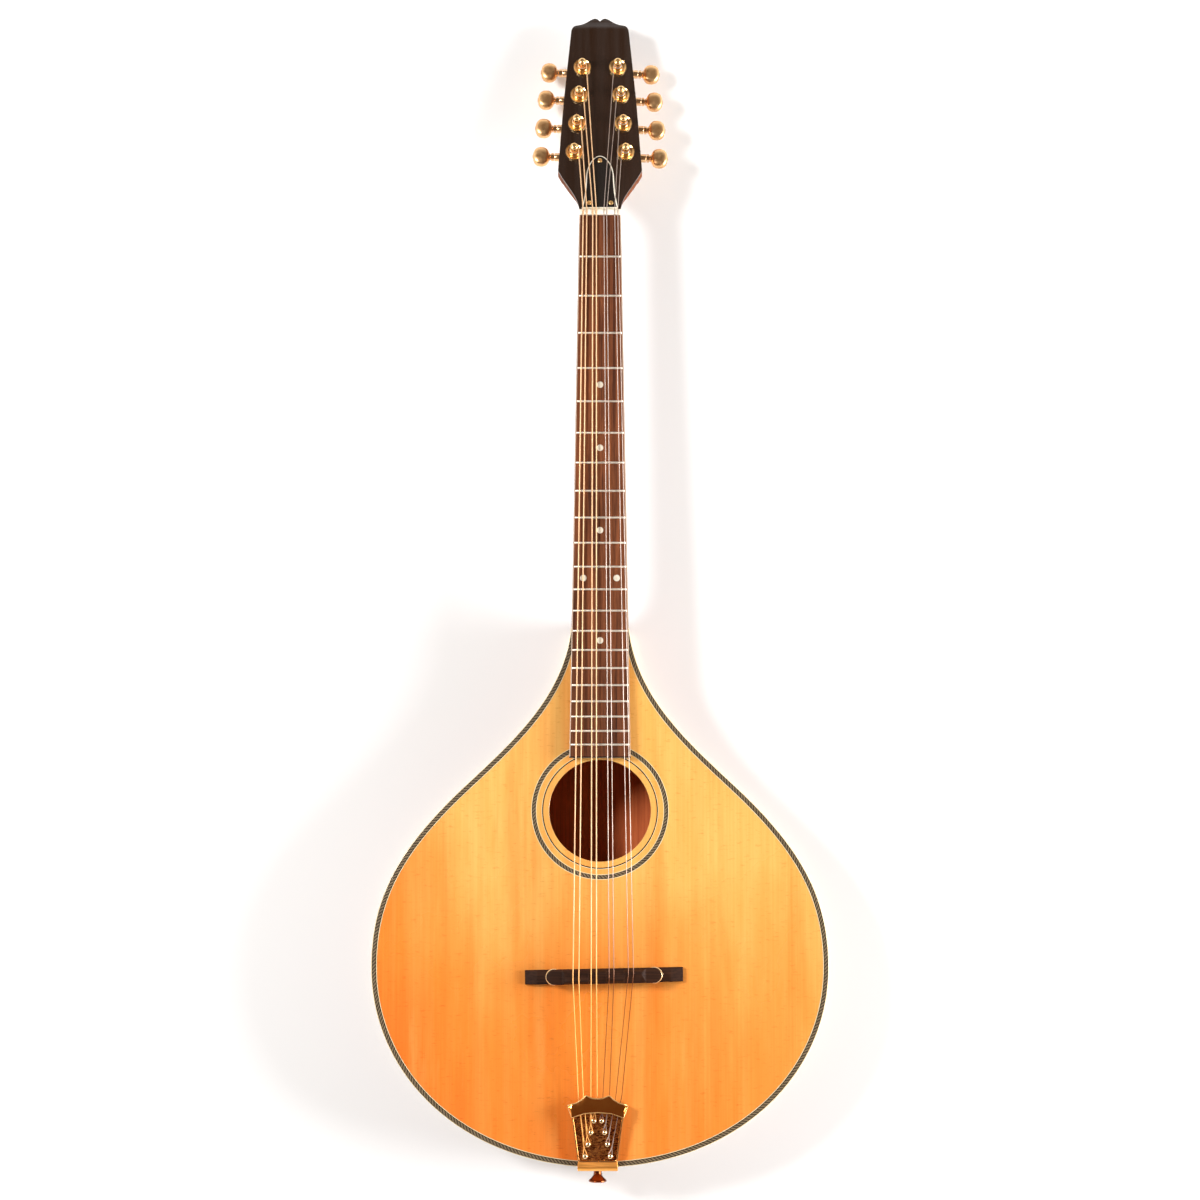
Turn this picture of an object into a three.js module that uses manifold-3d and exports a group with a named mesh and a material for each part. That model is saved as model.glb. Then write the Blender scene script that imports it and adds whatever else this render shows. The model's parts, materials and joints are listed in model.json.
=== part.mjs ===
// An eight-string flat-top bouzouki, lying on its back: +Z out of the soundboard, +Y along the neck
// to the headstock, +X to the treble side. Millimetres. The origin is on the flat back's outer face,
// straight below the point where the strings' nominal length ends at the bridge.
import * as THREE from 'three';
import { mergeVertices } from 'three/addons/utils/BufferGeometryUtils.js';
import Module from 'manifold-3d';

// ---- Driving dimensions ----
const SCALE_LENGTH = 660.4;
const NECK_TILT = THREE.MathUtils.degToRad(1.8);
const HEAD_TILT = THREE.MathUtils.degToRad(11);
const GAP = 0.3;

const BODY_DEPTH = 82;
const PLATE_THICKNESS = 3;
const SIDE_THICKNESS = 2.8;
const BODY_END_Y = -161;
const BODY_WIDEST = { halfWidth: 195, y: 8 };
const BODY_WAIST = { halfWidth: 117.4, y: 159.6 };
const NECK_JOINT = { halfWidth: 25, y: 297 };
const SOUNDHOLE = { y: 140.1, radius: 43.5 };

const FRETBOARD = { nutHalfWidth: 18.1, endHalfWidth: 26.2, length: 475.4, thickness: 4.6 };
const FRET_HEIGHT = 1.1;
const FRET_OF_BODY_JOINT = 14;
const NECK_RISE_AT_JOINT = 0.6;
const TONGUE_GAP = 0.1;
const NUT = { length: 5.4, top: 0.3 };
const NECK_WOOD_DEPTH = { atNut: 14.5, atHeel: 17.5 };
const HEEL = { start: 300, length: 50, depth: 79 };
const TRUSS_ROD = { radius: 3, length: 350, channel: 7.2 };

const HEAD = { thickness: 15, veneer: 1.5, belowFrets: 4 };
const COVER = { thickness: 2.4, halfWidth: 15.9, length: 52 };

const TUNER_ROWS = [
  { x: 22.6, v: 56.1 },
  { x: 20.5, v: 84.1 },
  { x: 18.5, v: 112.4 },
  { x: 15.8, v: 139.9 },
];
const TUNER_TWIST = THREE.MathUtils.degToRad(-1.9);
const POST = { radius: 3.45, waist: 2.7, cap: 3.3, top: 14, waistHeight: 6.3 };
const BUSHING = { bore: 3.6, sleeve: 4.3, flange: 8, top: 1.6, holeRadius: 4.6 };
const WORM = { offset: 6, depth: 22, radius: 2.1, shaft: 2 };
const GEAR = { radius: 3.6, thickness: 4 };
const HOUSING = { inboard: 9, outboard: 12.4, nutSide: 7.4, tipSide: 11, height: 13, wall: 2 };
const BUTTON = { x: 30, halfLength: 7.3, halfWidth: 9, halfThickness: 5 };

const BRIDGE = {
  x: 3.4, skew: THREE.MathUtils.degToRad(1.15), length: 134.4, width: 12.2, height: 7, slope: 10.4,
};
const BRIDGE_STUD = { spacing: 85, radius: 2, top: 13.5 };
const THUMBWHEEL = { radius: 7.2, thickness: 2.2, bottom: 8.4, bore: 2.25 };
const SADDLE = { endRadius: 5.8, earHeight: 6, crownHalfLength: 32, crest: 2.4 };
const STRING_HEIGHT_AT_SADDLE = 20.4;

const TAILPIECE = {
  x: -2, mouthY: -100, frontY: -107.6, backY: -156, plateY: -164, frontHalfWidth: 23.5, backHalfWidth: 17,
  floor: 3, frontHeight: 14, backHeight: 8, wall: 2,
};
const HOOKS = [
  { x: 10.6, y: -150.9 },
  { x: 8.2, y: -140.9 },
  { x: 5.8, y: -131.1 },
  { x: 3.3, y: -121.4 },
];
const END_PIN = { z: 41, shaft: 4, hole: 4.3, head: 7.8, endY: -178 };

const WOUND_RADIUS = 0.5;
const PLAIN_RADIUS = 0.3;
// Each string, bass to treble: x at the nut, at the saddle and at the tailpiece, and its tuner row.
const STRINGS = [
  { nut: -14.8, saddle: -23.0, tail: -18.5, row: 0, radius: WOUND_RADIUS },
  { nut: -11.6, saddle: -18.0, tail: -14.3, row: 1, radius: WOUND_RADIUS },
  { nut: -6.4, saddle: -7.5, tail: -7.9, row: 2, radius: WOUND_RADIUS },
  { nut: -3.2, saddle: -3.0, tail: -2.5, row: 3, radius: WOUND_RADIUS },
  { nut: 3.4, saddle: 7.7, tail: 2.5, row: 3, radius: PLAIN_RADIUS },
  { nut: 5.9, saddle: 11.7, tail: 8.1, row: 2, radius: PLAIN_RADIUS },
  { nut: 12.9, saddle: 24.0, tail: 13.5, row: 1, radius: PLAIN_RADIUS },
  { nut: 15.6, saddle: 28.3, tail: 18.5, row: 0, radius: PLAIN_RADIUS },
];

// ---- Materials ----
const finish = (color, roughness, metalness) =>
  new THREE.MeshStandardMaterial({ color, roughness, metalness });
const SPRUCE = finish(0xfca85a, 0.35, 0);
const SPRUCE_BRACE = finish(0xe6bd85, 0.7, 0);
const MAHOGANY = finish(0x8a4424, 0.35, 0);
const ROSEWOOD = finish(0x6b3a2a, 0.6, 0);
const EBONY = finish(0x2e1c14, 0.4, 0);
const BONE = finish(0xf3ead2, 0.4, 0);
const BLACK_VENEER = finish(0x1e1410, 0.12, 0);
const GOLD = finish(0xd9a04e, 0.22, 1);
const BRONZE = finish(0xd8a35c, 0.35, 1);
const STEEL = finish(0xc8c8c6, 0.25, 1);

// ---- Solids: cutting, joining and lofting ----
const wasm = await Module();
wasm.setup();

function solid(geometry) {
  const bare = geometry.clone();
  bare.deleteAttribute('normal');
  bare.deleteAttribute('uv');
  const merged = mergeVertices(bare, 1e-4);
  const vertProperties = new Float32Array(merged.attributes.position.array);
  const triVerts = new Uint32Array(merged.index.array);
  return new wasm.Manifold(new wasm.Mesh({ numProp: 3, vertProperties, triVerts }));
}

function geometryOf(manifold) {
  const mesh = manifold.getMesh();
  const geometry = new THREE.BufferGeometry();
  geometry.setAttribute('position', new THREE.BufferAttribute(mesh.vertProperties, 3));
  geometry.setIndex(new THREE.BufferAttribute(mesh.triVerts, 1));
  geometry.computeVertexNormals();
  return geometry;
}

function cut(geometry, ...tools) {
  return geometryOf(tools.reduce((rest, tool) => rest.subtract(solid(tool)), solid(geometry)));
}

function join(geometry, ...others) {
  return geometryOf(others.reduce((whole, other) => whole.add(solid(other)), solid(geometry)));
}

function common(geometry, other) {
  return geometryOf(solid(geometry).intersect(solid(other)));
}

// A box given by its low and high corners.
function block(low, high) {
  const size = high.map((value, axis) => value - low[axis]);
  const middle = high.map((value, axis) => (value + low[axis]) / 2);
  return new THREE.BoxGeometry(...size).translate(...middle);
}

// A flat plate of the shape, from height low to height high.
function plate(shape, low, high, curveSegments = 12) {
  const settings = { depth: high - low, bevelEnabled: false, curveSegments };
  return new THREE.ExtrudeGeometry(shape, settings).translate(0, 0, low);
}

// A body of revolution about Z. The profile is a list of [radius, height].
function turned(profile, segments = 16) {
  const points = profile.map(([radius, height]) => new THREE.Vector2(radius, height));
  return new THREE.LatheGeometry(points, segments).rotateX(Math.PI / 2);
}

function cylinder(radius, low, high, segments = 16) {
  return turned([[0, low], [radius, low], [radius, high], [0, high]], segments);
}

// A bar along -Y: one copy of the section at each station, scaled to its width and height.
function loft(section, stations, curveSegments) {
  const steps = stations.length - 1;
  const settings = { depth: steps, steps, bevelEnabled: false, curveSegments };
  const geometry = new THREE.ExtrudeGeometry(section, settings);
  const position = geometry.attributes.position;
  for (let i = 0; i < position.count; i += 1) {
    const station = stations[Math.round(position.getZ(i))];
    const x = station.x + position.getX(i) * station.width;
    const z = station.z + position.getY(i) * station.height;
    position.setXYZ(i, x, station.y, z);
  }
  return geometry;
}

// The shape on the +X side of the Y axis, with its mirror image on the other side.
function mirroredShape(halfOutline) {
  const left = halfOutline.map((point) => new THREE.Vector2(-point.x, point.y)).reverse();
  const points = [...halfOutline, ...left];
  return new THREE.Shape(points.filter((point, i) => point.distanceTo(points.at(i - 1)) > 1e-6));
}

// ---- Assembly ----
const group = new THREE.Group();
const neckFrame = new THREE.Group();
const headFrame = new THREE.Group();
const bridgeFrame = new THREE.Group();
group.add(neckFrame, bridgeFrame);
neckFrame.add(headFrame);

function piece(name, geometry, material, frame = group) {
  const mesh = new THREE.Mesh(geometry, material);
  mesh.name = name;
  frame.add(mesh);
  return mesh;
}

// The neck's frame starts at the nut's front edge, at the height of the fret tops.
const jointDistance = SCALE_LENGTH * (1 - 2 ** (-FRET_OF_BODY_JOINT / 12));
const neckTop = -FRET_HEIGHT - FRETBOARD.thickness - GAP;
const nutHeight = BODY_DEPTH + NECK_RISE_AT_JOINT - neckTop - jointDistance * Math.sin(NECK_TILT);
neckFrame.position.set(0, SCALE_LENGTH * Math.cos(NECK_TILT), nutHeight);
neckFrame.rotation.x = -NECK_TILT;
headFrame.position.set(0, NUT.length, -HEAD.belowFrets);
headFrame.rotation.x = -HEAD_TILT;
bridgeFrame.position.set(BRIDGE.x, 0, BODY_DEPTH);
bridgeFrame.rotation.z = BRIDGE.skew;
group.updateMatrixWorld(true);

const worldToNeck = neckFrame.matrixWorld.clone().invert();

// ---- Body ----
function bodyHalfOutline(inset = 0) {
  const path = new THREE.Path();
  path.moveTo(0, BODY_END_Y + inset);
  path.bezierCurveTo(
    112.6, BODY_END_Y + inset, BODY_WIDEST.halfWidth - inset, BODY_WIDEST.y - 94.3,
    BODY_WIDEST.halfWidth - inset, BODY_WIDEST.y,
  );
  path.bezierCurveTo(
    BODY_WIDEST.halfWidth - inset, 62.3, 176.4 - inset * 0.8, 104.1 - inset * 0.6,
    BODY_WAIST.halfWidth - inset * 0.7, BODY_WAIST.y - inset * 0.7,
  );
  path.bezierCurveTo(
    73.3 - inset * 0.7, 201 - inset * 0.7, 31.6 - inset, 237.8,
    NECK_JOINT.halfWidth - inset, NECK_JOINT.y - inset,
  );
  return path.getPoints(12);
}

function makeBody() {
  const outline = mirroredShape(bodyHalfOutline());
  const innerOutline = mirroredShape(bodyHalfOutline(SIDE_THICKNESS));
  const sideLow = PLATE_THICKNESS;
  const sideHigh = BODY_DEPTH - PLATE_THICKNESS;

  piece('back', plate(outline, 0, PLATE_THICKNESS), MAHOGANY);

  const top = mirroredShape(bodyHalfOutline());
  const hole = new THREE.Path().absarc(0, SOUNDHOLE.y, SOUNDHOLE.radius, 0, 2 * Math.PI, true);
  top.holes.push(hole);
  piece('soundboard', plate(top, sideHigh, BODY_DEPTH, 20), SPRUCE);

  const pinHole = cylinder(END_PIN.hole, -30, 30, 12).rotateX(Math.PI / 2)
    .translate(TAILPIECE.x, BODY_END_Y, END_PIN.z);
  const inside = plate(innerOutline, sideLow, sideHigh);
  piece('sides', cut(plate(outline, sideLow, sideHigh), inside, pinHole), MAHOGANY);

  const cavity = plate(mirroredShape(bodyHalfOutline(SIDE_THICKNESS + GAP)), sideLow, sideHigh);
  const neckBlock = block([-60, 252, 0], [60, NECK_JOINT.y, BODY_DEPTH]);
  piece('neck_block', common(cavity, neckBlock), MAHOGANY);
  const tailBlock = block([-42, BODY_END_Y, 0], [42, BODY_END_Y + 22, BODY_DEPTH]);
  piece('tail_block', cut(common(cavity, tailBlock), pinHole), MAHOGANY);

  const braceAngle = THREE.MathUtils.degToRad(38);
  const brace = block([-150, -3, -9], [112, 3, 0]);
  const leftBrace = brace.clone().rotateZ(braceAngle);
  const rightBrace = brace.clone().rotateY(Math.PI).translate(0, 0, -9).rotateZ(-braceAngle);
  piece('x_brace', join(leftBrace, rightBrace).translate(0, 74, sideHigh), SPRUCE_BRACE);
}

// ---- Neck ----
function fretboardHalfWidth(distance) {
  const slope = (FRETBOARD.endHalfWidth - FRETBOARD.nutHalfWidth) / FRETBOARD.length;
  return FRETBOARD.nutHalfWidth + slope * distance;
}

function neckStation(distance, height) {
  return { x: 0, y: -distance, z: neckTop, width: fretboardHalfWidth(distance), height };
}

// The shaft deepens evenly to the heel, and the heel curves down in a quarter of an ellipse.
function neckStations() {
  const stations = [neckStation(-16, NECK_WOOD_DEPTH.atNut - 0.6)];
  for (let i = 0; i <= 4; i += 1) {
    const depth = THREE.MathUtils.lerp(NECK_WOOD_DEPTH.atNut, NECK_WOOD_DEPTH.atHeel, i / 4);
    stations.push(neckStation((HEEL.start * i) / 4, depth));
  }
  for (let i = 1; i <= 8; i += 1) {
    const angle = (i / 8) * (Math.PI / 2);
    const extra = (HEEL.depth - NECK_WOOD_DEPTH.atHeel) * (1 - Math.cos(angle));
    const distance = HEEL.start + HEEL.length * Math.sin(angle);
    stations.push(neckStation(distance, NECK_WOOD_DEPTH.atHeel + extra));
  }
  stations.push(neckStation(FRETBOARD.length - 2, HEEL.depth));
  return stations;
}

function headHalfOutline(start) {
  const path = new THREE.Path();
  path.moveTo(18.2, start);
  path.bezierCurveTo(19.5, 14, 29, 22, 37.1, 38.6);
  path.quadraticCurveTo(34.6, 74, 32.2, 107.9);
  path.lineTo(25.9, 175.9);
  path.quadraticCurveTo(25.4, 182, 21, 182.7);
  path.bezierCurveTo(12, 183.8, 10, 188.2, 5.4, 189.6);
  path.quadraticCurveTo(2.4, 190.2, 0, 186.9);
  return path.getPoints(5);
}

function coverHalfOutline() {
  const path = new THREE.Path();
  path.moveTo(COVER.halfWidth, 0.8);
  path.bezierCurveTo(13.4, 12, 12.6, 20, 12.2, 32);
  path.bezierCurveTo(11.8, 41, 6.5, COVER.length, 0, COVER.length);
  return path.getPoints(6);
}

function tunerHoles(radius, low, high) {
  return [-1, 1].flatMap((side) => TUNER_ROWS.map(
    (row) => cylinder(radius, low, high, 12).translate(side * row.x, row.v, 0),
  ));
}

function makeNeck() {
  const halfRound = new THREE.Shape().absarc(0, 0, 1, Math.PI, 2 * Math.PI, false);
  const shaft = loft(halfRound, neckStations(), 14);
  const bodySpace = block([-80, 100, -20], [80, NECK_JOINT.y + GAP, BODY_DEPTH + TONGUE_GAP]);
  const shaftCut = cut(shaft, bodySpace.applyMatrix4(worldToNeck));

  headFrame.updateMatrix();
  const onHead = (geometry) => geometry.applyMatrix4(headFrame.matrix);
  const headWood = HEAD.veneer + GAP;
  const slab = plate(mirroredShape(headHalfOutline(0)), -HEAD.thickness, -headWood);
  const aboveHead = block([-60, 0.1, -headWood], [60, 220, 40]);
  const rodPocket = block([-6, -6, -9], [6, 32, 10]);
  const channel = block(
    [-TRUSS_ROD.channel / 2, -TRUSS_ROD.length - 2, neckTop - TRUSS_ROD.channel],
    [TRUSS_ROD.channel / 2, 12, 5],
  );
  const holes = tunerHoles(BUSHING.holeRadius, -HEAD.thickness - 5, 5);
  const cutters = [aboveHead, rodPocket, ...holes].map(onHead);
  const neck = cut(join(shaftCut, onHead(slab)), channel, ...cutters);
  piece('neck', neck, MAHOGANY, neckFrame);

  const rodBar = cylinder(TRUSS_ROD.radius, -18, TRUSS_ROD.length, 12).rotateX(Math.PI / 2);
  const rodHeight = neckTop - TRUSS_ROD.channel / 2;
  piece('truss_rod', rodBar.translate(0, 0, rodHeight), STEEL, neckFrame);

  const board = new THREE.Shape([
    new THREE.Vector2(FRETBOARD.nutHalfWidth, 0),
    new THREE.Vector2(-FRETBOARD.nutHalfWidth, 0),
    new THREE.Vector2(-FRETBOARD.endHalfWidth, -FRETBOARD.length),
    new THREE.Vector2(FRETBOARD.endHalfWidth, -FRETBOARD.length),
  ]);
  piece('fretboard', plate(board, neckTop + GAP, -FRET_HEIGHT), ROSEWOOD, neckFrame);

  const nutBlock = block(
    [-FRETBOARD.nutHalfWidth, GAP, neckTop + GAP],
    [FRETBOARD.nutHalfWidth, NUT.length, NUT.top],
  );
  piece('nut', nutBlock, BONE, neckFrame);

  const veneer = plate(mirroredShape(headHalfOutline(GAP)), -HEAD.veneer, 0);
  const slot = block([-5, -1, -3], [5, 30, 3]);
  const veneerHoles = tunerHoles(BUSHING.holeRadius, -3, 3);
  piece('headstock_veneer', cut(veneer, slot, ...veneerHoles), BLACK_VENEER, headFrame);

  const cover = plate(mirroredShape(coverHalfOutline()), GAP, GAP + COVER.thickness);
  piece('truss_rod_cover', cover, BLACK_VENEER, headFrame);
}

// ---- Tuners: each frame stands on the veneer at its post, X outwards on the treble side ----
function makeTuner(name, side, row) {
  const frame = new THREE.Group();
  frame.position.set(side * row.x, row.v, 0);
  frame.rotation.z = TUNER_TWIST;
  headFrame.add(frame);

  const xRange = (inner, outer) => (side > 0 ? [inner, outer] : [-outer, -inner]);
  const along = (geometry) => geometry.rotateY((side * Math.PI) / 2)
    .translate(0, WORM.offset, -WORM.depth);

  const top = -HEAD.thickness - GAP;
  const floor = top - HOUSING.height;
  const [outerLow, outerHigh] = xRange(-HOUSING.inboard, HOUSING.outboard);
  const [innerLow, innerHigh] = xRange(-HOUSING.inboard + HOUSING.wall, HOUSING.outboard - HOUSING.wall);
  const shell = block([outerLow, -HOUSING.nutSide, floor], [outerHigh, HOUSING.tipSide, top]);
  const pocket = block(
    [innerLow, -HOUSING.nutSide + HOUSING.wall, floor + HOUSING.wall],
    [innerHigh, HOUSING.tipSide - HOUSING.wall, top + 5],
  );
  const collar = along(cylinder(3.6, HOUSING.outboard - 1, 18.4, 12));
  const bore = along(cylinder(WORM.shaft + 0.15, 5, 25, 12));
  piece(`${name}_housing`, cut(join(shell, collar), pocket, bore), GOLD, frame);

  const sleeveEnd = 4 - HEAD.thickness;
  const bushing = turned([
    [BUSHING.bore, sleeveEnd], [BUSHING.sleeve, sleeveEnd], [BUSHING.sleeve, GAP],
    [BUSHING.flange - 0.5, GAP], [BUSHING.flange, 1.8], [BUSHING.flange - 0.5, 2.1],
    [BUSHING.sleeve + 0.3, 1], [BUSHING.bore, BUSHING.top],
    [BUSHING.bore, sleeveEnd],
  ]);
  piece(`${name}_bushing`, bushing, GOLD, frame);

  const gearLow = -WORM.depth - GEAR.thickness / 2;
  const post = turned([
    [0, floor + HOUSING.wall + GAP], [POST.radius - 0.4, floor + HOUSING.wall + GAP],
    [POST.radius - 0.4, gearLow], [GEAR.radius, gearLow],
    [GEAR.radius, gearLow + GEAR.thickness], [POST.radius, gearLow + GEAR.thickness],
    [POST.radius, 3.6], [POST.waist, 4.6], [POST.waist, 8.4], [POST.cap, 9.6], [POST.cap, 12.4],
    [POST.cap - 1.4, POST.top],
    [0, POST.top],
  ], 12);
  piece(`${name}_post`, post, GOLD, frame);

  const spindle = turned([
    [0, -5.5], [WORM.radius, -5.5], [WORM.radius, 6], [WORM.shaft, 7], [WORM.shaft, 19],
    [3, 19], [3, BUTTON.x - BUTTON.halfLength + 2], [0, BUTTON.x - BUTTON.halfLength + 2],
  ], 12);
  const knob = new THREE.SphereGeometry(1, 12, 8).rotateX(Math.PI / 2)
    .scale(BUTTON.halfThickness, BUTTON.halfWidth, BUTTON.halfLength).translate(0, 0, BUTTON.x);
  piece(`${name}_button`, along(join(spindle, knob)), GOLD, frame);
}

function makeTuners() {
  TUNER_ROWS.forEach((row, index) => {
    makeTuner(`tuner_bass_${index + 1}`, -1, row);
    makeTuner(`tuner_treble_${index + 1}`, 1, row);
  });
}

// ---- Bridge: a base on the top, two studs with thumbwheels, and the saddle that they carry ----
function makeBridge() {
  const half = BRIDGE.length / 2;
  const side = new THREE.Shape([
    new THREE.Vector2(-half, 0), new THREE.Vector2(half, 0), new THREE.Vector2(half, 4),
    new THREE.Vector2(half - BRIDGE.slope, BRIDGE.height),
    new THREE.Vector2(BRIDGE.slope - half, BRIDGE.height),
    new THREE.Vector2(-half, 4),
  ]);
  const upright = (shape, width) => plate(shape, -width / 2, width / 2).rotateX(Math.PI / 2);
  const studs = [-BRIDGE_STUD.spacing / 2, BRIDGE_STUD.spacing / 2];
  const boreAt = (x, low, high) => cylinder(THUMBWHEEL.bore, low, high, 12).translate(x, 0, 0);
  const baseBores = studs.map((x) => boreAt(x, 1, BRIDGE.height + 5));
  piece('bridge_base', cut(upright(side, BRIDGE.width), ...baseBores), EBONY, bridgeFrame);

  // Seen from above the saddle is a bar with round ends over the studs; from the front it rises from
  // two low ears to the crown; from its end it slopes up on both sides to a narrow crest.
  const saddleLow = THUMBWHEEL.bottom + THUMBWHEEL.thickness + GAP;
  const saddleTop = STRING_HEIGHT_AT_SADDLE - WOUND_RADIUS - GAP;
  const ear = saddleLow + SADDLE.earHeight;
  const crown = SADDLE.crownHalfLength;
  const radius = SADDLE.endRadius;
  const plan = new THREE.Shape();
  plan.absarc(studs[1], 0, radius, -Math.PI / 2, Math.PI / 2, false);
  plan.absarc(studs[0], 0, radius, Math.PI / 2, 1.5 * Math.PI, false);
  const front = new THREE.Shape([
    new THREE.Vector2(-half, 0), new THREE.Vector2(half, 0), new THREE.Vector2(half, ear),
    new THREE.Vector2(crown + 4, ear), new THREE.Vector2(crown, saddleTop),
    new THREE.Vector2(-crown, saddleTop), new THREE.Vector2(-crown - 4, ear),
    new THREE.Vector2(-half, ear),
  ]);
  const end = new THREE.Shape([
    new THREE.Vector2(-radius, 0), new THREE.Vector2(radius, 0), new THREE.Vector2(radius, ear),
    new THREE.Vector2(SADDLE.crest / 2, saddleTop), new THREE.Vector2(-SADDLE.crest / 2, saddleTop),
    new THREE.Vector2(-radius, ear),
  ]);
  const endOn = plate(end, -half, half).rotateX(Math.PI / 2).rotateZ(Math.PI / 2);
  const bar = common(plate(plan, saddleLow, saddleTop, 6), upright(front, 2 * radius + 1));
  const saddleBores = studs.map((x) => boreAt(x, saddleLow - 5, ear - 1.8));
  piece('bridge_saddle', cut(common(bar, endOn), ...saddleBores), EBONY, bridgeFrame);

  ['bass', 'treble'].forEach((name, index) => {
    const stud = cylinder(BRIDGE_STUD.radius, 1 + GAP, BRIDGE_STUD.top, 12);
    piece(`bridge_stud_${name}`, stud.translate(studs[index], 0, 0), GOLD, bridgeFrame);
    const low = THUMBWHEEL.bottom;
    const high = low + THUMBWHEEL.thickness;
    const wheel = turned([
      [THUMBWHEEL.bore, low], [THUMBWHEEL.radius, low], [THUMBWHEEL.radius, high],
      [THUMBWHEEL.bore, high], [THUMBWHEEL.bore, low],
    ], 20);
    piece(`thumbwheel_${name}`, wheel.translate(studs[index], 0, 0), GOLD, bridgeFrame);
  });
}

// ---- Tailpiece: a tapered tray with eight hooks, a crested cover band and a plate over the rim ----
function trayShape(inset) {
  const { frontHalfWidth, backHalfWidth, frontY, backY } = TAILPIECE;
  return new THREE.Shape([
    new THREE.Vector2(frontHalfWidth - inset, frontY + inset * 3),
    new THREE.Vector2(-frontHalfWidth + inset, frontY + inset * 3),
    new THREE.Vector2(-backHalfWidth + inset, backY + inset),
    new THREE.Vector2(backHalfWidth - inset, backY + inset),
  ]);
}

function bandHalfOutline() {
  const path = new THREE.Path();
  path.moveTo(0, -114);
  path.quadraticCurveTo(11.5, -114.4, 21.9, -118.5);
  path.lineTo(25.5, -108.3);
  path.quadraticCurveTo(17, -106.6, 9.8, -99.8);
  path.quadraticCurveTo(4.5, -102.6, 0, -102.6);
  return path.getPoints(5);
}

function makeTailpiece() {
  const { backHalfWidth, frontY, backY, plateY, floor, frontHeight, backHeight, wall } = TAILPIECE;
  const top = BODY_DEPTH;
  const tray = plate(trayShape(0), top + floor, top + frontHeight);
  const pocket = plate(trayShape(wall), top + floor + wall, top + frontHeight + 5);
  const fall = Math.atan2(frontHeight - backHeight, frontY - backY);
  const aboveTray = block([-40, -90, 0], [40, 20, 30]).rotateX(fall)
    .translate(0, frontY, top + frontHeight);
  const band = plate(mirroredShape(bandHalfOutline()), top + frontHeight - wall, top + frontHeight);
  const bend = block([-backHalfWidth, plateY, top + floor], [backHalfWidth, backY + 1, top + backHeight]);
  const drop = block([-backHalfWidth, plateY, 24], [backHalfWidth, BODY_END_Y - GAP, top + backHeight]);
  const hooks = [-1, 1].flatMap((side) => HOOKS.map(
    (hook) => cylinder(1.3, top + floor + 1, top + floor + 6.5, 8).translate(side * hook.x, hook.y, 0),
  ));
  const pinHole = cylinder(END_PIN.hole, -20, 20, 12).rotateX(Math.PI / 2)
    .translate(0, plateY, END_PIN.z);
  const frame = cut(tray, pocket, aboveTray);
  const tailpiece = cut(join(frame, band, bend, drop, ...hooks), pinHole);
  piece('tailpiece', tailpiece.translate(TAILPIECE.x, 0, 0), GOLD);

  const seat = -plateY + GAP;
  const pin = turned([
    [0, 146], [END_PIN.shaft, 146], [END_PIN.shaft, seat], [5.6, seat], [5.6, seat + 1.6],
    [3.4, seat + 3], [3.8, seat + 5.5], [END_PIN.head, 176.6], [END_PIN.head, 177.4],
    [7.2, -END_PIN.endY], [0, -END_PIN.endY],
  ]).rotateX(Math.PI / 2);
  piece('end_pin', pin.translate(TAILPIECE.x, 0, END_PIN.z), GOLD);
}

// ---- Strings ----
function stringStations(string) {
  const side = Math.sign(string.nut);
  const row = TUNER_ROWS[string.row];
  const hook = HOOKS[string.row];
  const postSide = POST.waist + GAP + string.radius + 0.1;
  const nutRise = NUT.top + GAP + WOUND_RADIUS;
  const saddleHeight = BODY_DEPTH + STRING_HEIGHT_AT_SADDLE;
  const frontX = THREE.MathUtils.lerp(string.saddle, string.tail, 0.97);
  const hookX = TAILPIECE.x + side * (hook.x + 1.3 + string.radius + GAP);
  const points = [
    new THREE.Vector3(side * (row.x - postSide), row.v, POST.waistHeight)
      .applyMatrix4(headFrame.matrixWorld),
    new THREE.Vector3(string.nut, NUT.length + GAP, nutRise - 0.1)
      .applyMatrix4(neckFrame.matrixWorld),
    new THREE.Vector3(string.nut, 0, nutRise).applyMatrix4(neckFrame.matrixWorld),
    new THREE.Vector3(string.saddle, SADDLE.crest, saddleHeight),
    new THREE.Vector3(string.saddle, -SADDLE.crest, saddleHeight),
    new THREE.Vector3(frontX, TAILPIECE.mouthY, BODY_DEPTH + 9.6),
    new THREE.Vector3(hookX, hook.y, BODY_DEPTH + 7.6),
  ];
  const size = { width: string.radius, height: string.radius };
  return points.map((point) => ({ x: point.x, y: point.y, z: point.z, ...size }));
}

function makeStrings() {
  const round = new THREE.Shape().absarc(0, 0, 1, 0, 2 * Math.PI, false);
  const names = ['bass', 'treble'];
  STRINGS.forEach((string) => {
    const name = `string_${names[string.nut > 0 ? 1 : 0]}_${string.row + 1}`;
    const material = string.radius === WOUND_RADIUS ? BRONZE : STEEL;
    piece(name, loft(round, stringStations(string), 4), material);
  });
}

makeBody();
makeNeck();
makeTuners();
makeBridge();
makeTailpiece();
makeStrings();

export default group;
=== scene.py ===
"""An eight-string flat-top bouzouki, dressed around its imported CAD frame.

The helpers take millimetres and make meshes in metres. The instrument lies on its back: +Z out of the
soundboard, +Y along the neck to the headstock, +X to the treble side.
"""

import json
import math

import bpy
import bmesh
from mathutils import Matrix, Vector
from mathutils.geometry import tessellate_polygon


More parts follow.
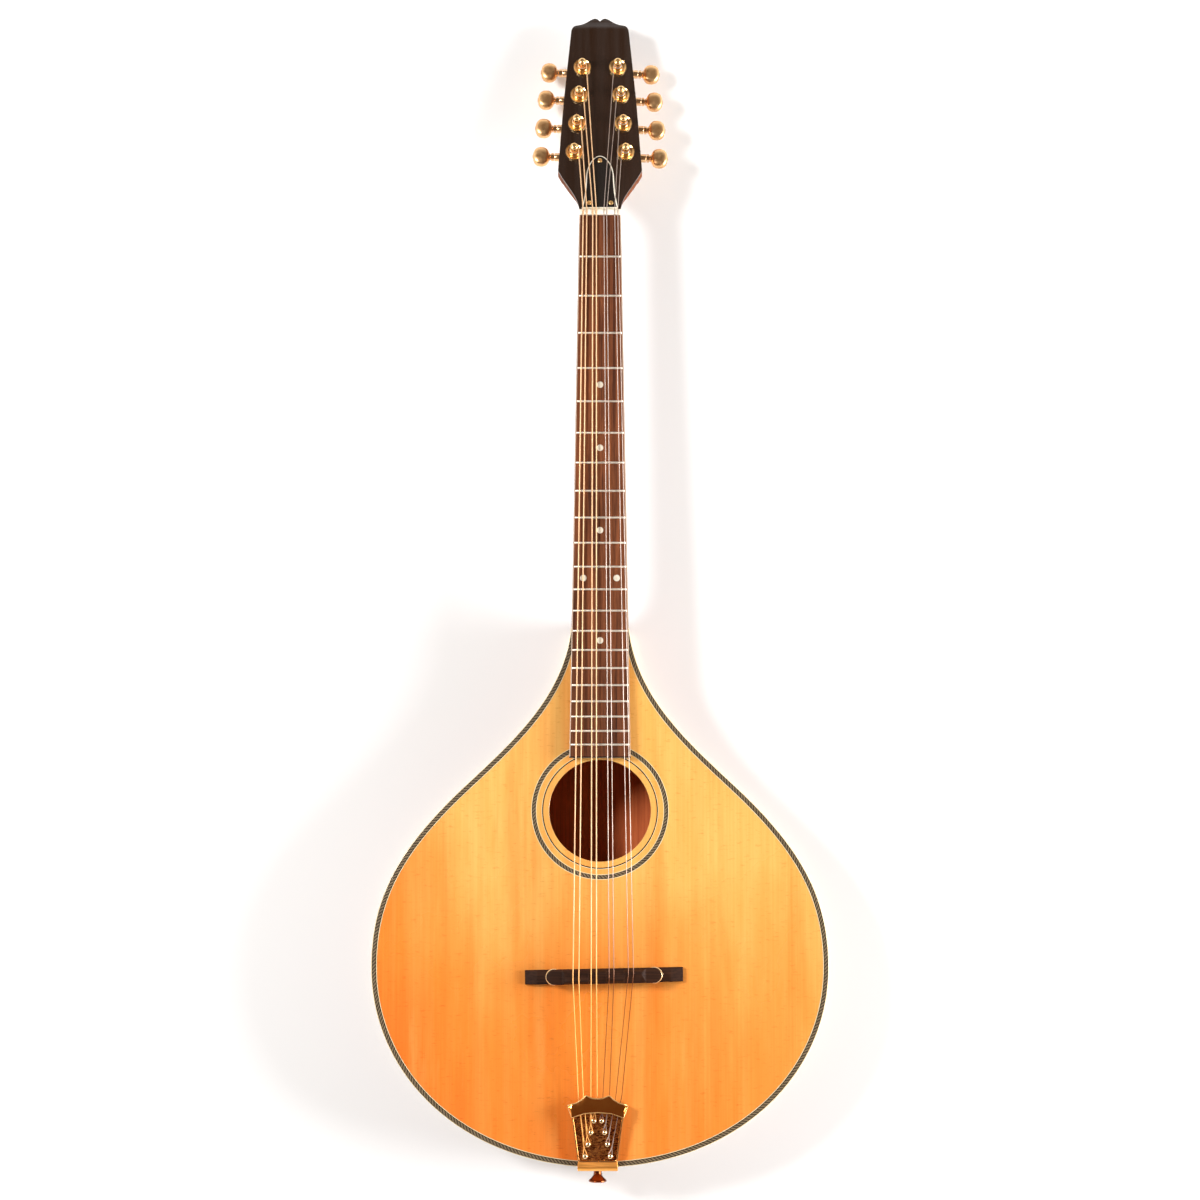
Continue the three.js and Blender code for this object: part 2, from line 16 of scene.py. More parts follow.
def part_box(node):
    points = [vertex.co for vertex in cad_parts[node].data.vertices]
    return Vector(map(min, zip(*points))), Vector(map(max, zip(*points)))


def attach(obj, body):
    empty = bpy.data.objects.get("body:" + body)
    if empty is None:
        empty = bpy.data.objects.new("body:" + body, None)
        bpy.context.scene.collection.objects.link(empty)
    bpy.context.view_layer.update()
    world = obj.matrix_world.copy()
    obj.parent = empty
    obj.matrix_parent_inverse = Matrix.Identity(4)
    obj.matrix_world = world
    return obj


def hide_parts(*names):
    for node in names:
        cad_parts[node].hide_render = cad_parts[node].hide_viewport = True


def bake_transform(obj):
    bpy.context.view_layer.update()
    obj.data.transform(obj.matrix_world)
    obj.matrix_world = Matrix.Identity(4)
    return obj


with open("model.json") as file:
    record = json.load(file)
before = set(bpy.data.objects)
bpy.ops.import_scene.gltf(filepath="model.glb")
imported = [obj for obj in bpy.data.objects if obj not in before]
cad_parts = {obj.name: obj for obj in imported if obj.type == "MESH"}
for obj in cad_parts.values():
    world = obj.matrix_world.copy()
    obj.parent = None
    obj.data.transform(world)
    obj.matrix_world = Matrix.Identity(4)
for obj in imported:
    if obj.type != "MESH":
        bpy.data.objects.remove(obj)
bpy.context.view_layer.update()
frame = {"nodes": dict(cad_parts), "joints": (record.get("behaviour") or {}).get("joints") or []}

MM = 0.001
TAU = 2 * math.pi

# ---- Driving dimensions, in millimetres ----
SCALE_LENGTH = 660.4
NECK_TILT = math.radians(1.8)
FRET_COUNT = 21
FRET_OF_BODY_JOINT = 14
NECK_RISE_AT_JOINT = 0.6
FRET_HEIGHT = 1.1
BOARD_THICKNESS = 4.6
GAP = 0.3

BODY_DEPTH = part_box("soundboard")[1].z / MM
BODY_END_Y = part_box("soundboard")[0].y / MM
PLATE_THICKNESS = 3.0
SIDE_THICKNESS = 2.8
NECK_JOINT_Y = 297.0
HOLE = {"y": 140.1, "radius": 43.5}

BOARD_HALF_AT_NUT = 18.1
BOARD_HALF_AT_END = 26.2
BOARD_LENGTH = 475.4
NUT_LENGTH = 5.4
HEAD_BELOW_FRETS = 4.0
HEAD_THICKNESS = 15.0
VENEER = 1.5

BRIDGE = {"x": 3.4, "skew": math.radians(1.15), "length": 134.4, "width": 12.2, "height": 7.0}
STUD_SPACING = 85.0
WHEEL = {"low": 8.4, "thickness": 2.2, "radius": 7.2, "bore": 2.25}
SADDLE = {"low": 10.9, "top": 19.6, "ear": 16.9, "end_radius": 6.4, "crown": 32.0}

TAIL_X = -2.0
HOOKS = [(10.6, -150.9), (8.2, -140.9), (5.8, -131.1), (3.3, -121.4)]
PIN_Z = 41.0

WOUND, PLAIN = 0.5, 0.3
# Bass to treble: side, row from the outside, x at the nut, the saddle and the tailpiece, and radius.
STRINGS = [
    ("bass", 1, -14.8, -23.0, -18.5, WOUND),
    ("bass", 2, -11.6, -18.0, -14.3, WOUND),
    ("bass", 3, -6.4, -7.5, -7.9, WOUND),
    ("bass", 4, -3.2, -3.0, -2.5, WOUND),
    ("treble", 4, 3.4, 7.7, 2.5, PLAIN),
    ("treble", 3, 5.9, 11.7, 8.1, PLAIN),
    ("treble", 2, 12.9, 24.0, 13.5, PLAIN),
    ("treble", 1, 15.6, 28.3, 18.5, PLAIN),
]


# ---- Frames of the neck, headstock, bridge and tuners ----
joints = {joint["name"]: joint for joint in frame["joints"]}
neck_top = -FRET_HEIGHT - BOARD_THICKNESS - GAP
joint_distance = SCALE_LENGTH * (1 - 2 ** (-FRET_OF_BODY_JOINT / 12))
nut_height = BODY_DEPTH + NECK_RISE_AT_JOINT - neck_top - joint_distance * math.sin(NECK_TILT)


def axes_matrix(origin, x, y, z):
    """The matrix that takes local millimetres to the instrument's, along three given directions."""
    matrix = Matrix((x, y, z)).transposed().to_4x4()
    matrix.translation = origin
    return matrix


ACROSS = Vector((1, 0, 0))
neck_frame = axes_matrix(
    Vector((0, SCALE_LENGTH * math.cos(NECK_TILT), nut_height)), ACROSS,
    Vector((0, math.cos(NECK_TILT), -math.sin(NECK_TILT))),
    Vector((0, math.sin(NECK_TILT), math.cos(NECK_TILT))),
)
head_normal = Vector(joints["tuner_treble_1_post_turn"]["axis"]).normalized()
head_frame = axes_matrix(
    neck_frame @ Vector((0, NUT_LENGTH, -HEAD_BELOW_FRETS)), ACROSS, head_normal.cross(ACROSS), head_normal,
)
bridge_frame = (
    Matrix.Translation((BRIDGE["x"], 0, BODY_DEPTH)) @ Matrix.Rotation(BRIDGE["skew"], 4, "Z")
)


def tuner_frame(name):
    """Out along the button, towards the headstock's tip, and out of the face, from the post's place."""
    post = joints[name + "_post_turn"]
    outward = Vector(joints[name + "_turn"]["axis"]).normalized()
    normal = Vector(post["axis"]).normalized()
    tipward = normal.cross(outward)
    if tipward.y < 0:
        tipward.negate()
    return axes_matrix(Vector(post["pos_m"]) / MM, outward, tipward, normal)


# ---- Outlines ----
def path(start, *curves, steps=16):
    """Points from start through the curves: one control point is a line, two or three are Beziers."""
    points = [Vector(start)]
    for curve in curves:
        controls = [points[-1]] + [Vector(point) for point in curve]
        count = 1 if len(controls) == 2 else steps
        for i in range(1, count + 1):
            level = controls
            while len(level) > 1:
                level = [a.lerp(b, i / count) for a, b in zip(level, level[1:])]
            points.append(level[0])
    return points


def mirrored(half):
    """The closed loop of a half outline on the +X side, drawn upwards, and its mirror image."""
    left = [Vector((-point.x, point.y)) for point in reversed(half)]
    loop = []
    for point in half + left:
        if not loop or (point - loop[-1]).length > 1e-4:
            loop.append(point)
    if (loop[0] - loop[-1]).length < 1e-4:
        loop.pop()
    return loop


def arc(centre, radius, start, end, steps):
    """Points on a circle, from one angle to another, in radians."""
    angles = [start + (end - start) * i / steps for i in range(steps + 1)]
    return [Vector((centre[0] + radius * math.cos(a), centre[1] + radius * math.sin(a))) for a in angles]


def circle(centre, radius, steps=64, clockwise=False):
    return arc(centre, radius, 0, -TAU if clockwise else TAU, steps)[:-1]


def rectangle(left, right, low, high):
    return [(left, low), (right, low), (right, high), (left, high)]


def polyline(points, x):
    """The height of a line through (x, y) points at x."""
    for (x0, y0), (x1, y1) in zip(points, points[1:]):
        if x <= x1:
            return y0 + (y1 - y0) * max(x - x0, 0) / max(x1 - x0, 1e-9)
    return points[-1][1]


def offset(loop, distance):
    """The loop moved to its left, which is into the material of a plate."""
    if abs(distance) < 1e-9:
        return list(loop)
    moved = []
    for i, point in enumerate(loop):
        before = (point - loop[i - 1]).normalized()
        after = (loop[(i + 1) % len(loop)] - point).normalized()
        normal = Vector((-before.y - after.y, before.x + after.x)).normalized()
        lean = max(normal.dot(Vector((-after.y, after.x))), 0.5)
        moved.append(point + normal * distance / lean)
    return moved


# ---- Shells: each is (points, faces) of one closed surface, in millimetres ----
def skin(rings, loop=False):
    """Joins rings of equal count into a tube, closed on itself or capped at both ends."""
    count = len(rings[0])
    points = [Vector(point) for ring in rings for point in ring]
    spans = len(rings) if loop else len(rings) - 1
    faces = []
    for i in range(spans):
        low, high = i * count, ((i + 1) % len(rings)) * count
        for k in range(count):
            n = (k + 1) % count
            faces.append((low + k, low + n, high + n, high + k))
    if not loop:
        faces.append(tuple(range(count))[::-1])
        faces.append(tuple((len(rings) - 1) * count + k for k in range(count)))
    return points, faces


def lathe(profile, steps=32, teeth=0, depth=0.0, closed=False):
    """A turned shape about Z from (radius, height) points. The widest points may carry teeth."""
    widest = max(radius for radius, _ in profile)
    rings = []
    for i in range(steps):
        angle = TAU * i / steps
        bite = depth * (0.5 - 0.5 * math.cos(teeth * angle))
        ring = []
        for radius, height in profile:
            r = radius - bite if radius > widest - depth - 1e-6 else radius
            ring.append((r * math.cos(angle), r * math.sin(angle), height))
        rings.append(ring)
    points, faces = skin(rings, loop=True)
    if not closed:
        last = len(profile) - 1
        faces = [f for f in faces if not (f[0] % len(profile) == last and f[1] % len(profile) == 0)]
    return points, faces


def plate(outer, holes, levels):
    """A plate with its outline counterclockwise and its holes clockwise. Each level is a height and how
    far the walls have moved into the material there, so that edges can be rounded."""
    points, faces = [], []
    ends = []
    for loop in [outer] + list(holes):
        starts = []
        for height, inset in levels:
            starts.append(len(points))
            points += [Vector((p.x, p.y, height)) for p in offset(loop, inset)]
        for low, high in zip(starts, starts[1:]):
            for k in range(len(loop)):
                n = (k + 1) % len(loop)
                faces.append((low + k, low + n, high + n, high + k))
        ends.append((starts[0], starts[-1], len(loop)))
    for which in (0, 1):
        loops = [[points[end[which] + k] for k in range(end[2])] for end in ends]
        index = [end[which] + k for end in ends for k in range(end[2])]
        faces += [tuple(index[k] for k in triangle) for triangle in tessellate_polygon(loops)]
    return points, faces


def band(loop, profile):
    """A strip that follows a closed outline. The profile is a list of (distance in, height) points, and
    a height may be a function of the place."""
    layers = {inset: offset(loop, inset) for inset, _ in profile}
    rings = []
    for i, point in enumerate(loop):
        heights = [z(point) if callable(z) else z for _, z in profile]
        rings.append([(layers[d][i].x, layers[d][i].y, z) for (d, _), z in zip(profile, heights)])
    return skin(rings, loop=True)


def box_section(half_width, low, high, bevel):
    """The outline of a rectangle with cut corners, across and up."""
    w, b = half_width, bevel
    return [(-w, low + b), (-w + b, low), (w - b, low), (w, low + b),
            (w, high - b), (w - b, high), (b - w, high), (-w, high - b)]


def bar(low, high, bevel):
    """A bar with rounded edges, given by its low and high corners."""
    outline = [Vector(corner) for corner in rectangle(low[0], high[0], low[1], high[1])]
    b = bevel
    edge = [(low[2], b), (low[2] + b * 0.3, b * 0.3), (low[2] + b, 0),
            (high[2] - b, 0), (high[2] - b * 0.3, b * 0.3), (high[2], b)]
    return plate(outline, [], edge)


def tube(route, radius, sides):
    """A round wire along the points, with its section carried along without twist."""
    route = [Vector(point) for point in route]
    count = len(route)
    radii = radius if isinstance(radius, list) else [radius] * count
    across = None
    rings = []
    for i, (point, size) in enumerate(zip(route, radii)):
        along = (route[min(i + 1, count - 1)] - route[max(i - 1, 0)]).normalized()
        if across is None:
            seed = Vector((0, 0, 1)) if abs(along.z) < 0.9 else Vector((1, 0, 0))
            across = along.cross(seed)
        across = (across - along * across.dot(along)).normalized()
        up = along.cross(across)
        rings.append([
            point + (across * math.cos(TAU * k / sides) + up * math.sin(TAU * k / sides)) * size
            for k in range(sides)
        ])
    return skin(rings)


def placed(shell, matrix):
    points, faces = shell
    return [matrix @ Vector(point) for point in points], faces


# ---- Pieces ----
def in_scene(name, data, place=(0, 0, 0)):
    made = bpy.data.objects.new(name, data)
    made.location = place
    bpy.context.scene.collection.objects.link(made)
    return made


def piece(name, shells, materials, body="root", replaces=(), place=None, sharp=38):
    """One object made of closed shells, each a shell or a (shell, material number) pair."""
    materials = materials if isinstance(materials, list) else [materials]
    points, faces, numbers = [], [], []
    for entry in shells:
        shell, number = entry if isinstance(entry[1], int) else (entry, 0)
        start = len(points)
        points += [Vector(p) for p in shell[0]]
        faces += [tuple(start + k for k in face) for face in shell[1]]
        numbers += [number] * len(shell[1])
    if place is not None:
        points = [place @ point for point in points]
    mesh = bpy.data.meshes.new(name)
    mesh.from_pydata([tuple(point * MM) for point in points], [], faces)
    for material in materials:
        mesh.materials.append(material)
    mesh.polygons.foreach_set("material_index", numbers)
    tidy = bmesh.new()
    tidy.from_mesh(mesh)
    bmesh.ops.remove_doubles(tidy, verts=tidy.verts, dist=1e-7)
    bmesh.ops.recalc_face_normals(tidy, faces=tidy.faces)
    tidy.to_mesh(mesh)
    tidy.free()
    mesh.shade_smooth()
    mesh.set_sharp_from_angle(angle=math.radians(sharp))
    made = in_scene(name, mesh)
    if body:
        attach(made, body)
    if replaces:
        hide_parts(*replaces)
    return made


# ---- Materials ----
def tinted(base, factors):
    return tuple(c * k for c, k in zip(base, factors))


class Finish:
    """A node material. Inputs are numbers, colours or other nodes' sockets."""

    def __init__(self, name, **surface):
        self.material = bpy.data.materials.new(name)
        self.material.use_nodes = True
        self.tree = self.material.node_tree
        self.surface = self.tree.nodes["Principled BSDF"]
        self.set(self.surface, surface)
        self.here = self.tree.nodes.new("ShaderNodeTexCoord").outputs["Object"]

    def set(self, node, inputs):
        for key, value in inputs.items():
            socket = node.inputs[key if isinstance(key, int) else key.replace("_", " ")]
            if isinstance(value, bpy.types.NodeSocket):
                self.tree.links.new(value, socket)
            elif isinstance(value, tuple) and socket.type == "RGBA":
                socket.default_value = (*value, 1)
            else:
                socket.default_value = value

    def node(self, kind, inputs, output=0, **settings):
        """One output of a new node."""
        made = self.tree.nodes.new("ShaderNode" + kind)
        for key, value in settings.items():
            setattr(made, key, value)
        self.set(made, inputs)
        return made.outputs[output]

    def noise(self, scale, detail=4.0, roughness=0.55, distortion=0.0):
        """Noise over the place in metres, times a scale for each axis."""
        place = self.node("Mapping", {"Vector": self.here, "Scale": scale})
        return self.node("TexNoise", {"Vector": place, "Scale": 1.0, "Detail": detail,
                                      "Roughness": roughness, "Distortion": distortion}, "Fac")

    def ramp(self, factor, *stops):
        """A ramp through (place, value) stops, where a value is a grey level or a colour."""
        color = self.node("ValToRGB", {"Fac": factor}, "Color")
        elements = color.node.color_ramp.elements
        while len(elements) < len(stops):
            elements.new(0.5)
        for element, (place, value) in zip(elements, stops):
            element.position = place
            element.color = (*value, 1) if isinstance(value, tuple) else (value, value, value, 1)
        return color

    def mix(self, factor, a, b, blend="MIX"):
        return self.node("Mix", {0: factor, 6: a, 7: b}, 2, data_type="RGBA", blend_type=blend)

    def shade(self, strength, color, factor, *stops):
        """The colour multiplied by a ramp."""
        return self.mix(strength, color, self.ramp(factor, *stops), "MULTIPLY")

    def math(self, operation, a, b=0.0):
        return self.node("Math", {0: a, 1: b}, operation=operation)

    def add(self, a, b):
        return self.math("ADD", a, b)

    def times(self, a, b):
        return self.math("MULTIPLY", a, b)

    def wave(self, phase):
        """A sine between 0 and 1."""
        return self.add(self.times(self.math("SINE", phase), 0.5), 0.5)

    def split(self, vector=None):
        """The X and Y of a vector, or of the place in metres."""
        outputs = self.node("SeparateXYZ", {"Vector": vector or self.here}).node.outputs
        return outputs["X"], outputs["Y"]

    def apart(self, place):
        """The distance from a place, in metres."""
        return self.node("VectorMath", {0: self.here, 1: place}, "Value", operation="DISTANCE")

    def bump(self, height, distance, strength, **before):
        return self.node("Bump", {"Height": height, "Distance": distance, "Strength": strength, **before})

    def done(self, **surface):
        self.set(self.surface, surface)
        return self.material


def spruce_top():
    """Honey-coloured spruce under gloss lacquer: fine straight grain along Y, paler streaks, and painted
    light:
    the colour is painted lighter to the upper right and darker to the lower left, with a painted glow
    beside the soundhole, a painted lighter band and patch on the bass side, and a painted darker spot
    there."""
    f = Finish("spruce_top", Coat_Weight=0.5, Coat_Roughness=0.1)
    x, y = f.split()
    cloud = f.noise((7.0, 4.0, 1.0), 3.0)
    # Painted light: the colour runs lighter to the upper right and darker to the lower left, as the lamps
    # fall, with random clouding.
    painted_light_tone = f.add(f.add(f.add(f.times(x, 0.9), f.times(y, 1.75)), 0.5),
                 f.times(f.math("SUBTRACT", cloud, 0.5), 0.9))
    # Painted light: a glow just to the treble side of the soundhole.
    painted_light_tone = f.add(painted_light_tone, f.ramp(f.apart((0.07, 0.13, 0.08)), (0.03, 0.34), (0.17, 0.0)))
    # Painted light: a lighter band down the bass side of the top.
    across = f.add(x, 0.2)
    painted_light_band = f.ramp(across, (0.03, 0.0), (0.075, 0.2), (0.105, 0.3), (0.125, 0.26), (0.15, 0.1),
                    (0.17, 0.07))
    painted_light_tone = f.add(painted_light_tone, f.math("SUBTRACT", painted_light_band, 0.07))
    # Painted light: a lighter patch on the bass side of the upper bout.
    painted_light_patch = f.times(f.ramp(f.apart((-0.05, 0.2, 0.08)), (0.07, 0.34), (0.21, 0.0)),
                    f.ramp(across, (0.15, 1.0), (0.2, 0.0)))
    # Painted shade: a darker spot on the bass side, level with the soundhole.
    corner = f.ramp(f.apart((-0.14, 0.13, 0.08)), (0.03, 0.24), (0.1, 0.0))
    painted_light_tone = f.math("SUBTRACT", f.add(painted_light_tone, painted_light_patch), corner)
    wood = f.ramp(painted_light_tone, (0.12, (0.84, 0.178, 0.017)), (0.42, (0.84, 0.245, 0.031)),
                  (0.7, (0.84, 0.34, 0.068)), (0.95, (0.84, 0.45, 0.115)))
    streaks = f.noise((46.0, 1.6, 1.0), 5.0, 0.62)
    wood = f.mix(f.ramp(streaks, (0.46, 0.0), (0.76, 0.38)), wood, (0.86, 0.46, 0.13))
    resin = f.noise((34.0, 2.6, 1.0), 4.0, 0.6, 0.4)
    wood = f.mix(f.ramp(resin, (0.52, 0.0), (0.72, 0.55)), wood, (0.80, 0.205, 0.020))
    wood = f.mix(f.ramp(resin, (0.26, 0.4), (0.42, 0.0)), wood, (0.88, 0.48, 0.15))
    silk = f.noise((95.0, 13.0, 1.0), 3.0, 0.6)
    wood = f.shade(1.0, wood, silk, (0.38, (0.97, 0.90, 0.80)), (0.52, (0.98, 0.95, 0.9)), (0.68, 1.0))
    rings = f.noise((620.0, 2.2, 1.0), 2.0, 0.5)
    wood = f.shade(0.5, wood, rings, (0.42, (0.90, 0.84, 0.76)), (0.62, 1.0))
    flecks = f.noise((130.0, 520.0, 1.0), 3.0, 0.7)
    wood = f.shade(0.7, wood, flecks, (0.28, (0.74, 0.62, 0.48)), (0.42, 1.0))
    gloss = f.ramp(f.noise((9.0, 9.0, 9.0)), (0.3, 0.24), (0.7, 0.36))
    return f.done(Base_Color=wood, Roughness=gloss, Normal=f.bump(rings, 0.00003, 0.25))


def plain_wood(name, dark, light, grain, gloss=0.3, coat=0.5, pores=0.5, spread=0.2, shine=0.5, along=()):
    """Open-grained wood. grain is how fast the figure changes along X, Y and Z, in cycles per metre;
    along holds (Y, brightness) stops for a board whose shade changes over its length."""
    f = Finish(name, Coat_Weight=coat, Coat_Roughness=0.12, Specular_IOR_Level=shine)
    broad = f.noise(tuple(0.25 * g for g in grain), 4.0, distortion=0.6)
    fine = f.noise(tuple(2.2 * g for g in grain), 5.0, 0.65)
    wood = f.ramp(broad, (0.5 - spread, dark), (0.5 + spread, light))
    wood = f.shade(pores, wood, fine, (0.38, tuple(0.55 * c for c in dark)), (0.6, 1.0))
    if along:
        wood = f.shade(1.0, wood, f.split()[1], *along)
    rough = f.ramp(fine, (0.3, gloss + 0.15), (0.7, gloss))
    return f.done(Base_Color=wood, Roughness=rough, Normal=f.bump(fine, 0.00004, 0.4))


def lacquered_black(name, base, edge_wear):
    """Black under high-gloss lacquer, with faint grain and fine polishing marks."""
    f = Finish(name, Coat_Weight=1.0, Coat_Roughness=0.04)
    grain = f.noise((160.0, 6.0, 20.0))
    color = f.ramp(grain, (0.35, base), (0.75, tuple(c + edge_wear for c in base)))
    marks = f.noise((900.0, 700.0, 800.0), 3.0, 0.8)
    swirl = f.noise((22.0, 22.0, 22.0), 1.0)
    return f.done(Base_Color=color, Roughness=f.ramp(marks, (0.4, 0.12), (0.75, 0.22)),
                  Normal=f.bump(swirl, 0.0004, 0.18))


def ivory(name, base, gloss=0.25):
    """Cream celluloid or bone: faint mottling and growth lines under a soft polish."""
    f = Finish(name, Roughness=gloss, Subsurface_Weight=0.05, Coat_Weight=0.3, Coat_Roughness=0.15,
               Subsurface_Radius=(0.002, 0.0012, 0.0008))
    mottle = f.noise((260.0, 40.0, 120.0), 3.0)
    color = f.ramp(mottle, (0.3, tinted(base, (0.93, 0.86, 0.72))), (0.65, base))
    return f.done(Base_Color=color, Normal=f.bump(mottle, 0.00003, 0.3))


def marquetry():
    """A rope of twisted grey and brown strips: diagonal bars, darker towards the band's edges."""
    f = Finish("rope_marquetry", Coat_Weight=0.5, Coat_Roughness=0.1)
    along, across = f.split(f.node("UVMap", {}, "UV", uv_map="along_band"))
    lean = f.add(along, f.times(across, 1.1))
    strips = f.wave(f.times(lean, TAU / 3.2))
    color = f.ramp(strips, (0.2, (0.050, 0.034, 0.020)), (0.5, (0.11, 0.077, 0.043)),
                   (0.8, (0.235, 0.172, 0.100)))
    from_middle = f.math("ABSOLUTE", f.math("SUBTRACT", across, 2.4))
    color = f.shade(1.0, color, f.times(from_middle, 0.5), (0.5, 1.0), (0.8, (0.3, 0.26, 0.22)))
    blotch = f.noise((90.0, 90.0, 90.0), 3.0)
    color = f.shade(0.5, color, blotch, (0.3, 0.6), (0.7, 1.0))
    return f.done(Base_Color=color, Roughness=0.32, Normal=f.bump(strips, 0.00004, 0.3))


def gold(name, base, rough, tarnish, brushed=(300.0, 300.0, 300.0), marks=0.3):
    """Gold plate: fine handling marks, uneven gloss, and redder tarnish in patches."""
    f = Finish(name, Metallic=1.0)
    wear = f.noise((55.0, 55.0, 55.0), 4.0, 0.6)
    color = f.mix(f.ramp(wear, (0.42, 0.0), (0.78, tarnish)), base, tinted(base, (0.86, 0.62, 0.42)))
    lines = f.noise(brushed, 4.0, 0.7)
    gloss = f.ramp(lines, (0.3, rough * 0.75), (0.7, rough * 1.4))
    return f.done(Base_Color=color, Roughness=gloss, Normal=f.bump(lines, 0.00002, marks))


def engraved_gold():
    """The tray's floor: a cast pattern of small scrolls, dark in its hollows."""
    f = Finish("gold_engraved", Metallic=1.0)
    relief = f.ramp(f.noise((230.0, 620.0, 400.0), 2.0, distortion=2.2), (0.44, 0.0), (0.56, 1.0))
    swirl = f.noise((420.0, 420.0, 420.0), 4.0, distortion=1.4)
    color = f.mix(relief, (0.12, 0.028, 0.006), (0.62, 0.24, 0.065))
    color = f.shade(0.7, color, swirl, (0.35, (0.35, 0.3, 0.24)), (0.65, 1.0))
    normal = f.bump(relief, 0.0004, 0.9, Normal=f.bump(swirl, 0.0002, 0.8))
    return f.done(Base_Color=color, Roughness=0.34, Normal=normal)


def wire(name, base, rough, winding=None):
    """Drawn wire, painted browner from the bridge to the tailpiece and partly over the top before it, less
    so in the
    tray: painted reflection of the orange soundboard. Or a core wrapped in finer wire whose turns are
    winding metres apart, painted yellower there as the same painted reflection, with painted shade between
    the turns."""
    f = Finish(name, Metallic=1.0)
    worn = f.noise((20.0, 30.0, 20.0), 3.0)
    color = f.mix(f.ramp(worn, (0.4, 0.0), (0.75, 0.6)), base, tuple(c * 0.72 for c in base))
    gloss = f.ramp(worn, (0.3, rough), (0.7, rough + 0.12))
    y = f.split()[1]
    way = f.math("SUBTRACT", 0.48, f.times(y, 4.0))
    if winding is None:
        # Painted reflection: plain wire is tinted towards brown where it lies over the orange top, fully
        # behind the bridge, and less again inside the tray.
        behind = f.ramp(way, (0.0, 0.1), (0.3, 0.6), (0.46, 0.8), (0.5, 1.0), (0.92, 1.0), (0.97, 0.3))
        return f.done(Base_Color=f.mix(behind, color, tinted(base, (0.34, 0.13, 0.05))), Roughness=gloss)
    # Painted reflection: wound wire is tinted yellower over the lower top and past the bridge.
    color = f.mix(f.ramp(way, (0.25, 0.0), (0.55, 1.0)), color, tinted(base, (1.0, 0.78, 0.4)))
    ridge = f.wave(f.times(y, TAU / winding))
    # Painted shade: the colour darkens in the grooves between the winding's turns.
    color = f.shade(0.35, color, ridge, (0.0, (0.55, 0.5, 0.45)), (0.5, 1.0))
    return f.done(Base_Color=color, Roughness=gloss, Normal=f.bump(ridge, winding * 0.15, 0.5))


def pearl():
    """Mother of pearl: silvery, with soft bands of pink and green."""
    f = Finish("pearl", Roughness=0.18, Coat_Weight=1.0, Coat_Roughness=0.05)
    bands = f.noise((260.0, 160.0, 200.0), 3.0, distortion=1.6)
    color = f.ramp(bands, (0.25, (0.58, 0.46, 0.36)), (0.42, (0.78, 0.66, 0.52)),
                   (0.55, (0.70, 0.66, 0.54)), (0.72, (0.84, 0.73, 0.60)))
    return f.done(Base_Color=color, Normal=f.bump(bands, 0.0002, 0.25))


def bare_steel():
    f = Finish("bare_steel", Metallic=1.0, Base_Color=(0.42, 0.42, 0.43))
    lines = f.noise((700.0, 30.0, 700.0), 3.0)
    return f.done(Roughness=f.ramp(lines, (0.3, 0.3), (0.7, 0.5)), Normal=f.bump(lines, 0.00004, 0.3))


def floor_paint():
    f = Finish("studio_floor", Specular_IOR_Level=0.1, Roughness=0.9)
    return f.done(Base_Color=f.ramp(f.noise((2.0, 2.0, 2.0), 2.0), (0.3, 0.93), (0.7, 0.95)))


SPRUCE_TOP = spruce_top()
MAHOGANY = (0.150, 0.040, 0.015), (0.27, 0.082, 0.030)
MAHOGANY_SIDE = plain_wood("mahogany_sides", *MAHOGANY, (9.0, 9.0, 420.0))
MAHOGANY_LONG = plain_wood("mahogany_along", *MAHOGANY, (420.0, 9.0, 420.0))
NECK_WOOD = plain_wood("mahogany_neck", (0.16, 0.042, 0.011), (0.27, 0.080, 0.022), (420.0, 9.0, 420.0),
                       gloss=0.5, coat=0.0, shine=0.12)
INSIDE_WOOD = plain_wood("mahogany_inside", (0.60, 0.125, 0.034), (0.95, 0.230, 0.066),
                         (260.0, 8.0, 260.0), gloss=0.85, coat=0.0, pores=0.3)
BRACE_SPRUCE = plain_wood("brace_spruce", (0.62, 0.40, 0.20), (0.74, 0.52, 0.29), (90.0, 90.0, 260.0),
                          gloss=0.7, coat=0.0, pores=0.25)
ROSEWOOD = plain_wood("rosewood", (0.095, 0.024, 0.0065), (0.355, 0.105, 0.035), (1500.0, 14.0, 900.0),
                      gloss=0.55, coat=0.0, spread=0.16, shine=0.2,
                      along=((0.20, 0.56), (0.30, 0.72), (0.45, 0.86), (0.62, 0.82), (0.66, 0.66)))
EBONY = plain_wood("ebony", (0.022, 0.007, 0.003), (0.050, 0.018, 0.008), (10.0, 380.0, 380.0),
                   gloss=0.5, coat=0.0, shine=0.12)
BLACK_HEAD = lacquered_black("black_headstock", (0.018, 0.006, 0.002), 0.012)
BLACK_COVER = lacquered_black("black_cover", (0.010, 0.007, 0.006), 0.008)
BLACK_LINE = lacquered_black("black_line", (0.020, 0.014, 0.010), 0.01)
CREAM = ivory("cream_binding", (0.80, 0.64, 0.38))
